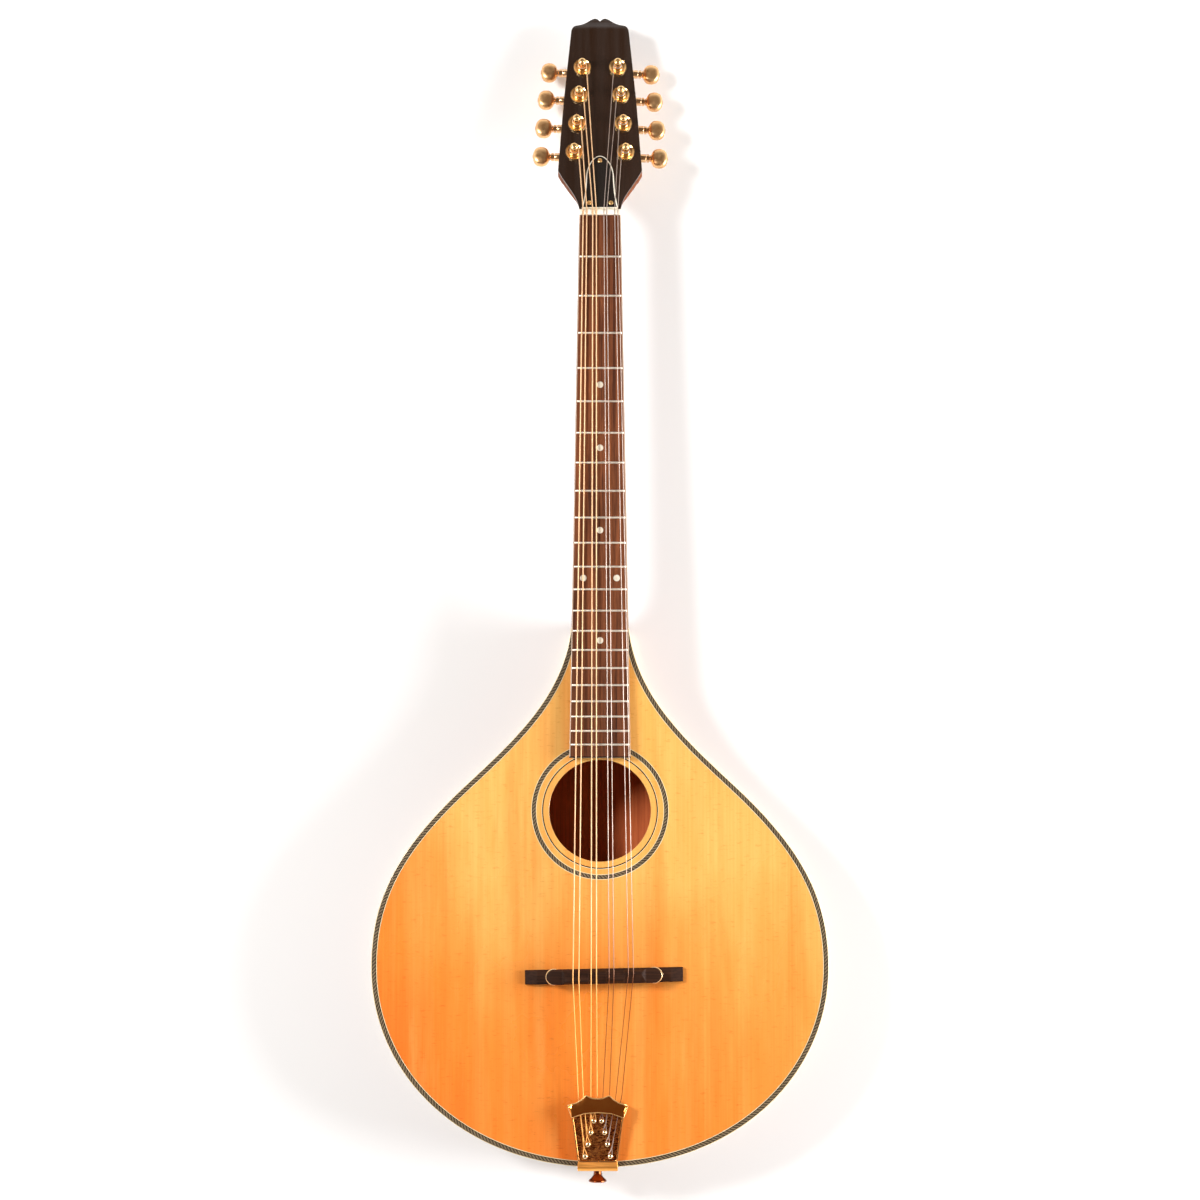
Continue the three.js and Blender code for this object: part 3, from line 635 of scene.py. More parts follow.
# Painted shade: the board's binding is a darker copy of the cream binding, painting the shade along the
# board's edges.
SHADED_BOARD_BINDING = ivory("board_binding_painted_shade", (0.52, 0.38, 0.29), 0.4)
WHITE_LINE = ivory("white_line", (0.84, 0.70, 0.44))
BONE = ivory("bone_nut", (0.95, 0.90, 0.79), 0.3)
ROPE = marquetry()
PEARL = pearl()
GOLD = gold("gold_polished", (0.94, 0.62, 0.28), 0.2, 0.4)
GOLD_BRIGHT = gold("gold_bright", (0.96, 0.74, 0.42), 0.14, 0.2)
GOLD_BEAD = gold("gold_bead", (0.95, 0.59, 0.24), 0.32, 0.3)
GOLD_SATIN = gold("gold_satin", (0.88, 0.55, 0.27), 0.33, 0.7)
GOLD_PLATE = gold("gold_rim_plate", (1.0, 0.44, 0.10), 0.44, 0.5, brushed=(60.0, 900.0, 900.0), marks=0.1)
GOLD_RIM = gold("gold_tray_rim", (0.64, 0.28, 0.08), 0.18, 0.8)
GOLD_COVER = gold("gold_cover", (0.94, 0.33, 0.07), 0.13, 0.9)
# Painted shade: a dark copy of the gold for the end pin's cone, standing for the dark reflections on its
# plated surface.
GOLD_PAINTED_DARK = gold("gold_painted_shade", (0.26, 0.070, 0.022), 0.13, 0.8)
GOLD_SHAFT = gold("gold_shaft", (0.86, 0.56, 0.31), 0.2, 0.7)
FRET_METAL = gold("fret_metal", (1.0, 0.93, 0.80), 0.44, 0.1)
ENGRAVED = engraved_gold()
STEEL = bare_steel()
WIRES = {
    "bass": (wire("wound_bronze", (0.87, 0.575, 0.335), 0.46, 0.0006), "wound_string"),
    "treble": (wire("plain_steel", (0.60, 0.49, 0.43), 0.34), "plain_string"),
}


# ---- Camera, light and floor ----
AIM = Vector((0, 0.2, 0.05))
FLOOR_CENTRE_Y = 0.3
FLOOR_RADIUS = 1.45


def area_light(name, place, size, power):
    light = bpy.data.lights.new(name, "AREA")
    light.shape = "DISK"
    light.size = size
    light.energy = power
    made = in_scene(name, light, place)
    made.rotation_euler = (AIM - Vector(place)).to_track_quat("-Z", "Y").to_euler()


def make_studio():
    scene = bpy.context.scene
    scene.camera = in_scene("camera", bpy.data.cameras.new("camera"), (0, 0.09158, 2.51091))
    scene.camera.rotation_euler = (math.radians(5.4), 0, 0)
    scene.camera.data.sensor_width = 36
    scene.camera.data.lens = 84.915
    area_light("key", (-1.6, 0.75, 2.0), 0.7, 56)
    area_light("fill", (2.4, 0.1, 1.05), 1.6, 110)

    world = bpy.data.worlds.new("studio")
    world.use_nodes = True
    nodes, links = world.node_tree.nodes, world.node_tree.links
    background = nodes["Background"].inputs
    split, ramp = nodes.new("ShaderNodeSeparateXYZ"), nodes.new("ShaderNodeValToRGB")
    links.new(nodes.new("ShaderNodeTexCoord").outputs["Generated"], split.inputs[0])
    links.new(split.outputs["Z"], ramp.inputs[0])
    links.new(ramp.outputs[0], background["Color"])
    horizon, zenith = ramp.color_ramp.elements
    horizon.position, horizon.color = 0.25, (1.0, 1.0, 1.0, 1)
    zenith.position, zenith.color = 0.62, (0.108, 0.080, 0.058, 1)
    background["Strength"].default_value = 1.3
    scene.world = world
    scene.view_settings.view_transform = "Standard"

    mesh = bpy.data.meshes.new("floor")
    rim = circle((0, FLOOR_CENTRE_Y), FLOOR_RADIUS, 96)
    mesh.from_pydata([(point.x, point.y, 0) for point in rim], [], [range(len(rim))])
    mesh.materials.append(floor_paint())
    in_scene("floor", mesh, (0, 0, -0.0004))


# ---- Body ----
BINDING = 0.6
BINDING_DEPTH = 6.5
ROPE_WIDTH = 3.8
LINE = 0.5
BACK_BINDING = BINDING + 1.2
BACK_LINE = BACK_BINDING + 0.8
SIDE_INSET = 0.25
ROSETTE_RADIUS = 58.9
LINING = {"height": 8, "width": 5, "step": 2}
BACK_BRACES = (-88, 30, 190)


def body_outline(steps=44):
    return mirrored(path(
        (0, BODY_END_Y), [(112.6, BODY_END_Y), (195, -86.3), (195, 8)],
        [(195, 62.3), (176.4, 104.1), (117.4, 159.6)], [(73.3, 201), (31.6, 237.8), (25, NECK_JOINT_Y)],
        steps=steps,
    ))


def along_band(made, loop):
    """Coordinates for a band's pattern: the way round the loop, and the way across, in millimetres."""
    around = [0.0]
    for a, b in zip(loop, loop[1:] + loop[:1]):
        around.append(around[-1] + (b - a).length)
    mesh = bmesh.new()
    mesh.from_mesh(made.data)
    layer = mesh.loops.layers.uv.new("along_band")
    count = len(mesh.verts) // len(loop)
    for face in mesh.faces:
        stations = [corner.vert.index // count for corner in face.loops]
        wraps = max(stations) - min(stations) > len(loop) // 2
        for corner, station in zip(face.loops, stations):
            across = (corner.vert.co.xy / MM - loop[station]).length
            if wraps and station < len(loop) // 2:
                station += len(loop)
            corner[layer].uv = (around[station], across)
    mesh.to_mesh(made.data)
    mesh.free()


def inlaid_line(name, loop, start, width, material, low=BODY_DEPTH - PLATE_THICKNESS):
    """A strip let into the top along a loop, from start to start + width inside it."""
    profile = rectangle(start, start + width, low, BODY_DEPTH + 0.03)
    made = piece(name, [band(loop, profile)], material)
    if material == ROPE:
        along_band(made, loop)


def make_top():
    outline = body_outline()
    low = BODY_DEPTH - PLATE_THICKNESS
    hole = circle((0, HOLE["y"]), HOLE["radius"], 128, clockwise=True)
    inner = offset(outline, BINDING + ROPE_WIDTH + LINE)
    levels = [(low, 0), (BODY_DEPTH - 0.7, 0), (BODY_DEPTH - 0.2, 0.084), (BODY_DEPTH, 0.315)]
    piece("top_plate", [plate(inner, [hole], levels)], SPRUCE_TOP, replaces=["soundboard"])

    base = BODY_DEPTH - BINDING_DEPTH
    binding = [(SIDE_INSET, base), (BINDING, base), (BINDING, BODY_DEPTH), (0.42, BODY_DEPTH - 0.04),
               (0.12, BODY_DEPTH - 0.3), (0.0, BODY_DEPTH - 0.7), (0.0, base + 0.2)]
    piece("top_binding", [band(outline, binding)], CREAM)
    inlaid_line("top_rope_band", outline, BINDING, ROPE_WIDTH, ROPE)
    inlaid_line("top_white_line", outline, BINDING + ROPE_WIDTH, LINE, WHITE_LINE)

    ring = circle((0, HOLE["y"]), ROSETTE_RADIUS, 144)
    for part, start, width, material in (
        ("outer_line", 0, LINE, WHITE_LINE), ("rope_band", LINE, 3.5, ROPE),
        ("inner_line", 4.0, LINE, WHITE_LINE),
        ("fine_white", 8.95, 0.4, WHITE_LINE), ("fine_dark", 9.35, 0.95, BLACK_LINE),
    ):
        inlaid_line(f"rosette_{part}", ring, start, width, material, low + 1)


def make_sides():
    """Bent sides, rebated for the bindings at both edges, with the back's binding and its dark line."""
    outline = body_outline()
    low, high = PLATE_THICKNESS, BODY_DEPTH - PLATE_THICKNESS
    edge, top_edge = BINDING_DEPTH, BODY_DEPTH - BINDING_DEPTH
    walls = ((SIDE_INSET, edge, top_edge), (BINDING, low, edge), (BINDING, top_edge, high))
    piece("rim", [band(outline, rectangle(face, SIDE_THICKNESS, z0, z1)) for face, z0, z1 in walls],
          MAHOGANY_SIDE, replaces=["sides"])
    binding = [(0.9, 0.0), (BACK_BINDING, 0.0), (BACK_BINDING, low), (BINDING, low), (BINDING, edge),
               (SIDE_INSET, edge), (0.0, edge - 0.2), (0.0, 1.0), (SIDE_INSET, 0.3)]
    piece("back_binding", [band(outline, binding)], CREAM)
    line = rectangle(BACK_BINDING, BACK_LINE, 0.0, low)
    piece("back_line", [band(outline, line)], BLACK_LINE)


def make_back():
    """Two matched plates with a dark strip between them, and bare wood inside."""
    outline = body_outline()
    panel = offset(outline, BACK_LINE)
    low_y = min(p.y for p in panel)
    high_y = max(p.y for p in panel)
    strip = 3.2
    right = [p for p in panel if p.x > strip]
    right = [Vector((strip, low_y))] + right + [Vector((strip, high_y))]
    left = [Vector((-p.x, p.y)) for p in reversed(right)]
    halves = [plate(half, [], [(0, 0), (PLATE_THICKNESS, 0)]) for half in (right, left)]
    piece("back_plate", halves, MAHOGANY_LONG, replaces=["back"])
    bare = [(PLATE_THICKNESS - 0.1, 0), (PLATE_THICKNESS + 0.06, 0)]
    inside = plate(offset(outline, SIDE_THICKNESS), [], bare)
    piece("back_bare_face", [inside], INSIDE_WOOD)
    centre = [bar((-strip, low_y, 0), (strip, high_y, PLATE_THICKNESS), 0.04)]
    piece("back_centre_strip", centre, ROSEWOOD)


def make_inside():
    """Linings along both edges of the sides, the back's three braces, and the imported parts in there."""
    outline = body_outline()
    low, high = PLATE_THICKNESS, BODY_DEPTH - PLATE_THICKNESS
    wall, inner = SIDE_THICKNESS, SIDE_THICKNESS + LINING["width"]
    height, step = LINING["height"], LINING["step"]
    lower = [(wall, low), (inner, low), (inner, low + step), (wall, low + height)]
    upper = [(wall, high - height), (inner, high - step), (inner, high), (wall, high)]
    piece("linings", [band(outline, lower), band(outline, upper)], INSIDE_WOOD)

    section = [(0, -4), (0, 4), (5, 3.6), (9, 2.2), (11, 0), (9, -2.2), (5, -3.6)]
    for number, y in enumerate(BACK_BRACES, 1):
        reach = max(p.x for p in outline if abs(p.y - y) < 12) - 12
        rings = []
        for x, scale in ((-reach, 0.25), (-reach + 30, 1), (reach - 30, 1), (reach, 0.25)):
            rings.append([(x, y + b, low + a * scale) for a, b in section])
        piece(f"back_brace_{number}", [skin(rings)], BRACE_SPRUCE)

    dress("neck_block", INSIDE_WOOD)
    dress("tail_block", INSIDE_WOOD)
    dress("x_brace", BRACE_SPRUCE)
    dress("truss_rod", STEEL)


def dress(node, material):
    """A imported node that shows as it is, in its own finish."""
    made = frame["nodes"][node]
    made.data.materials.clear()
    made.data.materials.append(material)


# ---- Neck and headstock ----
HEAD_HALF_AT_NUT = 18.2
SLAB_START = 30.0
SHAFT = {"depth": 14.6, "gain": 2.9, "power": 2.15, "overhang": 0.3}
HEEL = {"start": 300.0, "length": 50.0, "depth": 78.4, "squarer": 1.6}
HEEL_CAP = {"low": 2.8, "high": 5.4}


def board_half(distance):
    return BOARD_HALF_AT_NUT + (BOARD_HALF_AT_END - BOARD_HALF_AT_NUT) * distance / BOARD_LENGTH


def shaft_half(distance):
    return board_half(distance) + SHAFT["overhang"]


def head_half_outline(start=0.0, steps=14):
    return path(
        (HEAD_HALF_AT_NUT, start), [(19.5, 14), (29, 22), (37.1, 38.6)],
        [(34.6, 74), (32.2, 107.9)], [(25.9, 175.9)],
        [(25.4, 182), (21, 182.7)], [(12, 183.8), (10, 188.2), (5.4, 189.6)], [(2.4, 190.2), (0, 186.9)],
        steps=steps,
    )


def half_round(half_width, depth, power, steps=28):
    """The neck's section: flat on top, round below. A higher power is squarer."""
    section = []
    for i in range(steps + 1):
        angle = math.pi + math.pi * i / steps
        c, s = math.cos(angle), math.sin(angle)
        x = math.copysign(abs(c) ** (2 / power), c) * half_width
        section.append((x, -depth * abs(s) ** (2 / power)))
    return section


def eased(t):
    t = min(max(t, 0.0), 1.0)
    return t * t * (3 - 2 * t)


def heel_stations(last):
    """Distances from the nut up the heel, with the section's depth and squareness at each."""
    deepest = SHAFT["depth"] + SHAFT["gain"]
    for i in range(40, -1, -1):
        s = HEEL["start"] + (last - HEEL["start"]) * i / 40
        turn = 1 - math.cos(math.asin(min((s - HEEL["start"]) / HEEL["length"], 1)))
        yield s, deepest + (HEEL["depth"] - deepest) * turn, SHAFT["power"] + HEEL["squarer"] * turn


def neck_shaft(last):
    """Heel, shaft and the headstock's flare in one skin, flattened where the heel's cap goes."""
    rings = []

    def station(matrix, along, top, half_width, depth, power):
        section = half_round(half_width, depth, power)
        ring = [matrix @ Vector((x, along, top + z)) for x, z in section]
        rings.append([Vector((p.x, p.y, max(p.z, HEEL_CAP["high"]))) for p in ring])

    for s, depth, power in heel_stations(last):
        station(neck_frame, -s, neck_top, shaft_half(s), depth, power)
    for i in range(24, 0, -1):
        s = HEEL["start"] * i / 25
        depth = SHAFT["depth"] + SHAFT["gain"] * s / HEEL["start"]
        station(neck_frame, -s, neck_top, shaft_half(s), depth, SHAFT["power"])
    flare = [(p.y, p.x) for p in head_half_outline()]
    for v in range(-1, 35, 2):
        edge = polyline(flare, v) if v > 0 else HEAD_HALF_AT_NUT
        swell = 15.0 + 1.8 * math.exp(-((v - 5) / 7) ** 2) - 1.8 * eased(v / 30)
        power = SHAFT["power"] + 9 * eased(v / 30) ** 2
        station(head_frame, v, -VENEER - GAP, edge - 0.15, swell, power)
    return skin(rings)


def neck_tongue(last):
    """The wood under the fretboard's end, which lies over the body."""
    rings = []
    for s in (BOARD_LENGTH - 2, last + 0.8):
        top = neck_frame @ Vector((0, -s, neck_top))
        half = board_half(s) - 0.6
        rings.append([(x, top.y, z) for x, z in rectangle(-half, half, BODY_DEPTH + 0.12, top.z)])
    return skin(rings)


def make_neck():
    last = (SCALE_LENGTH * math.cos(NECK_TILT) - NECK_JOINT_Y) / math.cos(NECK_TILT) - GAP
    outline = [Vector((0, SLAB_START))] + [p for p in head_half_outline() if p.y > SLAB_START]
    back = -HEAD_THICKNESS
    levels = [(back, 2.6), (back + 0.35, 1.3), (back + 1.1, 0.45), (back + 2.4, 0.05), (back + 3.5, 0),
              (-VENEER - 0.05, 0)]
    slab = placed(plate(mirrored(outline), [], levels), head_frame)
    piece("neck_wood", [neck_shaft(last), slab, neck_tongue(last)], NECK_WOOD,
          replaces=["neck"], sharp=32)
    veneer = plate(mirrored(head_half_outline(GAP)), [],
                   [(-VENEER, 0.0), (-0.45, 0.0), (-0.12, 0.14), (0, 0.45)])
    piece("head_veneer", [veneer], BLACK_HEAD, place=head_frame,
          replaces=["headstock_veneer"])


def make_heel_cap():
    """The heel's flat end is the neck's section at that height: a rounded tongue of dark wood."""
    low, high = HEEL_CAP["low"], HEEL_CAP["high"]
    half = []
    for s, depth, power in heel_stations(SCALE_LENGTH * math.cos(NECK_TILT) - NECK_JOINT_Y):
        reach = neck_frame @ Vector((0, -s, neck_top))
        level = (reach.z - high) / depth
        if level >= 1:
            break
        half.append(Vector((shaft_half(s) * (1 - level ** power) ** (1 / power), reach.y)))
    half.append(Vector((0, half[-1].y + 0.6)))
    half[0].y = NECK_JOINT_Y + 0.2
    cap = plate(mirrored([Vector((0, half[0].y))] + half), [],
                [(low, 0.9), (low + 0.3, 0.35), (low + 0.9, 0), (high + 0.3, 0)])
    piece("heel_cap", [cap], BLACK_LINE)


# ---- Fretboard ----
BOARD_BINDING = 0.8
END_STRIP = 1.2
CENTRE_DOTS = (5, 7, 10, 12, 15)
PAIRED_DOTS = {12: (-14.4, 14.4)}
board_low, board_high = neck_top + GAP, -FRET_HEIGHT


def fret_distance(number):
    return SCALE_LENGTH * (1 - 2 ** (-number / 12))


def between_frets(number):
    """The middle of the space below a fret, as a distance from the nut."""
    return (fret_distance(number - 1) + fret_distance(number)) / 2


def fret_wire(s):
    """A fret over the board at a distance from the nut, rounded on top and at both ends."""
    reach = board_half(s) - BOARD_BINDING - 0.1
    rings = []
    for x, scale in ((-reach, 0.25), (-reach + 0.25, 0.7), (-reach + 0.8, 1), (reach - 0.8, 1),
                     (reach - 0.25, 0.7), (reach, 0.25)):
        crown = [(-0.85, -0.3), (-0.85, 0.12)]
        crown += [(-math.cos(math.pi * i / 8) * 0.83, 0.12 + 0.93 * math.sin(math.pi * i / 8) * scale)
                  for i in range(1, 8)]
        crown += [(0.85, 0.12), (0.85, -0.3)]
        rings.append([(x, -s + a, board_high + b) for a, b in crown])
    return skin(rings)


def board_strip(side):
    """The binding along one side of the board."""
    low, high = board_low, board_high
    rings = []
    for s in (0, BOARD_LENGTH - END_STRIP):
        edge = side * board_half(s)
        inner = side * (board_half(s) - BOARD_BINDING)
        rings.append([(edge, -s, low), (edge, -s, high - 0.35), (edge - side * 0.12, -s, high - 0.1),
                      (edge - side * 0.4, -s, high), (inner, -s, high), (inner, -s, low)])
    return skin(rings)


def make_fretboard():
    low, high, end = board_low, board_high, BOARD_LENGTH
    corners = []
    for side, s in ((1, 0), (-1, 0), (-1, end - END_STRIP), (1, end - END_STRIP)):
        corners.append(Vector((side * (board_half(s) - BOARD_BINDING), -s)))
    piece("fretboard_wood", [plate(corners, [], [(low, 0), (high, 0)])], ROSEWOOD,
          place=neck_frame, replaces=["fretboard"])
    # The binding's darker colour is painted shade along the board's edges.
    piece("fretboard_binding", [board_strip(-1), board_strip(1)], SHADED_BOARD_BINDING, place=neck_frame)
    half = board_half(end)
    cap = [Vector((half, -end)), Vector((half, -end + END_STRIP)),
           Vector((-half, -end + END_STRIP)), Vector((-half, -end))]
    piece("fretboard_end", [plate(cap, [], [(low, 0), (high - 0.3, 0), (high, 0.3)])], BLACK_LINE,
          place=neck_frame)
    for number in range(1, FRET_COUNT + 1):
        piece(f"fret_{number}", [fret_wire(fret_distance(number))], FRET_METAL,
              place=neck_frame, sharp=50)

    dot = lathe([(0, high - 1), (2.85, high - 1), (2.85, high + 0.01), (2.6, high + 0.05),
                 (0, high + 0.06)], 28)
    spot = lathe([(0, -0.4), (1.0, -0.4), (1.0, 0.02), (0.8, 0.06), (0, 0.06)], 16)
    outward = Vector((-1, 0, 0)).to_track_quat("Z", "Y").to_matrix().to_4x4()
    dots, sides = [], []
    for number in CENTRE_DOTS:
        s = between_frets(number)
        dots += [placed(dot, Matrix.Translation((x, -s, 0))) for x in PAIRED_DOTS.get(number, (0,))]
        place = Matrix.Translation((-board_half(s), -s, (low + high) / 2))
        sides.append(placed(placed(spot, outward), place))
    piece("position_dots", dots, PEARL, place=neck_frame)
    piece("side_dots", sides, BLACK_LINE, place=neck_frame)


def make_nut():
    """A rounded bone bar whose top carries a slot for each string."""
    half = BOARD_HALF_AT_NUT
    low, top = board_low, 0.95
    steps = 180
    rings = []
    for i in range(steps + 1):
        x = -half + 2 * half * i / steps
        end = min(1.0, (half - abs(x)) / 0.8)
        crest = top - 0.6 * (1 - math.sqrt(max(0.0, 1 - (1 - end) ** 2)))
        for _, _, place, _, _, radius in STRINGS:
            crest -= 0.55 * math.exp(-((x - place) / (radius + 0.15)) ** 4)
        near, far = GAP, NUT_LENGTH
        rings.append([(x, near, low), (x, far, low), (x, far, crest - 1.5), (x, far - 0.7, crest - 0.75),
                      (x, far - 2.0, crest - 0.25), (x, near + 1.2, crest), (x, near + 0.35, crest - 0.1),
                      (x, near, crest - 0.5)])
    piece("nut_bone", [skin(rings)], BONE, place=neck_frame, replaces=["nut"], sharp=60)


def make_rod_cover():
    half = path((15.9, 0.8), [(13.4, 12), (12.6, 20), (12.2, 32)], [(11.8, 41), (6.5, 52), (0, 52)],
                steps=20)
    outline = mirrored([Vector((0, 0.8))] + half)
    rim = band(outline, [(0, 0.3), (0.95, 0.3), (0.95, 2.3), (0.55, 2.35), (0, 1.6)])
    inner = plate(offset(outline, 0.95), [], [(0.3, 0), (2.25, 0), (2.5, 0.3)])
    piece("rod_cover", [(inner, 0), (rim, 1)], [BLACK_COVER, BONE], place=head_frame,
          replaces=["truss_rod_cover"])
    for number, (x, v) in enumerate(((0, 46.9), (-9.5, 5.8), (9.5, 5.8))):
        piece(f"cover_screw_{number + 1}", slotted_screw(2.0, 0.8), GOLD_BEAD,
              place=head_frame @ Matrix.Translation((x, v, 2.45)) @ Matrix.Rotation(0.7 * number, 4, "Z"))


def slotted_screw(radius, height):
    """A countersunk screw's domed head: two half discs with the driver's slot between them."""
    halves = []
    width = 0.17 * radius
    for side in (0, math.pi):
        reach = math.asin(width / radius)
        rim = arc((0, 0), radius, reach, math.pi - reach, 20)
        halves.append(placed(plate(rim, [], [(0, 0), (height * 0.45, 0), (height * 0.8, radius * 0.18),
                                             (height, radius * 0.45)]), Matrix.Rotation(side, 4, "Z")))
    base = lathe([(0, -0.2), (radius, -0.2), (radius, height * 0.35), (0, height * 0.35)], 24)
    return halves + [base]


# ---- Tuners ----
WORM = {"tip": 6.0, "normal": -22.0}
COIL_RADIUS = 3.1
CONTACT = 6.3
CASE_X, CASE_Y = 1.7, 1.8


def superellipse(half_a, half_b, power, steps=40):
    ring = []
    for i in range(steps):
        c, s = math.cos(TAU * i / steps), math.sin(TAU * i / steps)
        ring.append((math.copysign(abs(c) ** (2 / power), c) * half_a,
                     math.copysign(abs(s) ** (2 / power), s) * half_b))
    return ring


def facing_down(x, y, z):
    return Matrix.Translation((x, y, z)) @ Matrix.Rotation(math.pi, 4, "X")


def along_worm(shell, shift=0.0):
    """A shape turned about Z, laid on the worm's axis, pointing outwards."""
    lay = Matrix.Translation((shift, WORM["tip"], WORM["normal"])) @ Matrix.Rotation(math.pi / 2, 4, "Y")
    return placed(shell, lay)


def gear_case():
    """A cast pillow-shaped case, open to the headstock, with a screw cap, a fixing lug and a collar."""
    levels = [(-28.1, 0.2), (-28.3, 0.5), (-28.15, 0.72), (-27.5, 0.87), (-26.3, 0.955), (-24.4, 0.99),
              (-22, 1.0), (-16.1, 1.0), (-15.4, 0.97), (-15.3, 0.94), (-15.3, 0.9), (-23, 0.9),
              (-25.6, 0.86), (-26.5, 0.6), (-26.7, 0.2)]
    rings = []
    for height, scale in levels:
        ring = superellipse(10.7 * scale, 9.2 * scale, 3.4)
        rings.append([(CASE_X + x, CASE_Y + y, height) for x, y in ring])
    cap = placed(lathe([(0, -0.3), (4.6, -0.3), (4.6, 0.35), (4.2, 0.6), (0, 0.75)], 36),
                 facing_down(CASE_X, CASE_Y, -28.3))
    screw = [placed(shell, facing_down(CASE_X, CASE_Y, -28.9)) for shell in slotted_screw(2.3, 0.7)]
    lug = mirrored(path((0, -13.2), [(4.2, -13.2), (4.4, -9.6), (5.4, -5.5)], [(5.4, -4)], steps=10))
    lug = plate([Vector((p.x + CASE_X, p.y)) for p in lug], [],
                [(-17.2, 0.5), (-17.0, 0.1), (-16.6, 0), (-15.3, 0)])
    fixing = [placed(shell, facing_down(CASE_X, -10.3, -17.2)) for shell in slotted_screw(1.7, 0.7)]
    profile = [(2.15, 10.8), (4.1, 10.8), (4.1, 12.3), (3.9, 12.6), (3.7, 12.7), (3.7, 17.9), (3.5, 18.2),
               (2.15, 18.3)]
    collar = along_worm(lathe(profile, 32, closed=True))
    return [skin(rings), cap, lug, (collar, 1)] + screw + fixing


def bushing():
    """A dished washer on the sleeve that carries the post."""
    profile = [(3.6, 1.5), (3.9, 1.7), (4.3, 1.5), (4.6, 0.95), (5.4, 1.1), (6.4, 1.45), (7.2, 1.95),
               (7.6, 2.15), (7.85, 2.1), (8.0, 1.8), (7.9, 0.9), (7.5, 0.3), (4.3, 0.3), (4.3, -11),
               (3.6, -11)]
    return [lathe(profile, 48, closed=True)]


def string_post():
    """The post: gear inside the case, a waist for the string, and a stepped cap."""
    stem = [(0, -26), (2.9, -26), (2.9, -20), (3.45, -20), (3.45, 3.5), (3.35, 4.0), (3.1, 4.4),
            (3.05, 6.2), (3.1, 7.8), (3.3, 8.5), (3.5, 9.2), (3.55, 10.4), (3.45, 11.6), (3.1, 12.5),
            (2.45, 12.95), (2.1, 13.05), (2.0, 13.5), (1.7, 13.85), (1.1, 14.0), (0.6, 13.8), (0, 13.7)]
    gear = [(0, -24), (3.0, -24), (3.6, -23.6), (3.6, -20.4), (3.0, -20), (0, -20)]
    return [lathe(stem, 32), lathe(gear, 90, teeth=15, depth=0.5)]


def string_coils(radius):
    """The string's turns on the waist, from where it arrives on the inner side, down to the sleeve."""
    turns = 1.5 / (2 * radius)
    route = []
    for i in range(int(36 * turns) + 1):
        angle = math.pi - TAU * i / 36
        height = CONTACT - 2 * radius * i / 36
        route.append(((COIL_RADIUS + radius) * math.cos(angle), (COIL_RADIUS + radius) * math.sin(angle),
                      height))
    return tube(route, radius, 8)


def tuner_button():
    """An oval pillow on a stem, with its worm and the screw that holds it."""
    worm = [(0, -5.5), (1.6, -5.5)]
    for i in range(23):
        worm.append((1.65 if i % 2 else 2.1, -5.3 + 0.5 * i))
    worm += [(1.9, 6.6), (1.9, 18.6), (3.5, 18.6), (3.7, 18.8), (3.7, 20.8), (3.5, 21.0), (2.7, 21.1),
             (2.7, 21.9), (3.4, 22.3), (3.4, 25), (0, 25)]
    rings = []
    steps = 26
    for i in range(steps + 1):
        t = -math.cos(math.pi * (i + 0.35) / (steps + 0.7))
        scale = (1 - abs(t) ** 2.35) ** (1 / 2.35)
        ring = superellipse(9.0 * scale, 5.0 * scale ** 0.55, 2.7, 44)
        rings.append([(30 + 7.3 * t, WORM["tip"] + a, WORM["normal"] + b) for a, b in ring])
    screw = [along_worm(shell, 37.2) for shell in slotted_screw(1.9, 0.5)]
    return [(along_worm(lathe(worm, 24)), 1), skin(rings)] + screw


def make_tuners():
    for side, row, _, _, _, radius in sorted(STRINGS):
        short = f"{side}_{row}"
        name = f"tuner_{short}"
        finish, slot = WIRES[side]
        place = tuner_frame(name)
        piece(f"case_{short}", gear_case(), [GOLD, GOLD_SHAFT], place=place,
              replaces=[name + "_housing"])
        piece(f"bushing_{short}", bushing(), GOLD, place=place, replaces=[name + "_bushing"])
        piece(f"post_{short}", string_post(), GOLD, name + "_post", place=place,
              replaces=[name + "_post"])
        piece(f"button_{short}", tuner_button(), [GOLD_SATIN, GOLD_SHAFT], name + "_button",
              place=place, replaces=[name + "_button"])
        piece(f"coils_{short}", [string_coils(radius)], finish, name + "_post", place=place)


# ---- Bridge ----
# How far the saddle's crest stands towards the neck under each pair of strings, to correct its length.
CREST_STEPS = [(-60, -3.0), (-12.5, 1.9), (2.0, -1.7), (17.0, 1.5)]


def crest_offset(x):
    """The crest's place along Y at a place across the saddle, eased over 2.4 mm at each step."""
    value = CREST_STEPS[0][1]
    for (edge, height), (_, before) in zip(CREST_STEPS[1:], CREST_STEPS):
        value += (height - before) * eased((x - edge + 1.2) / 2.4)
    return value


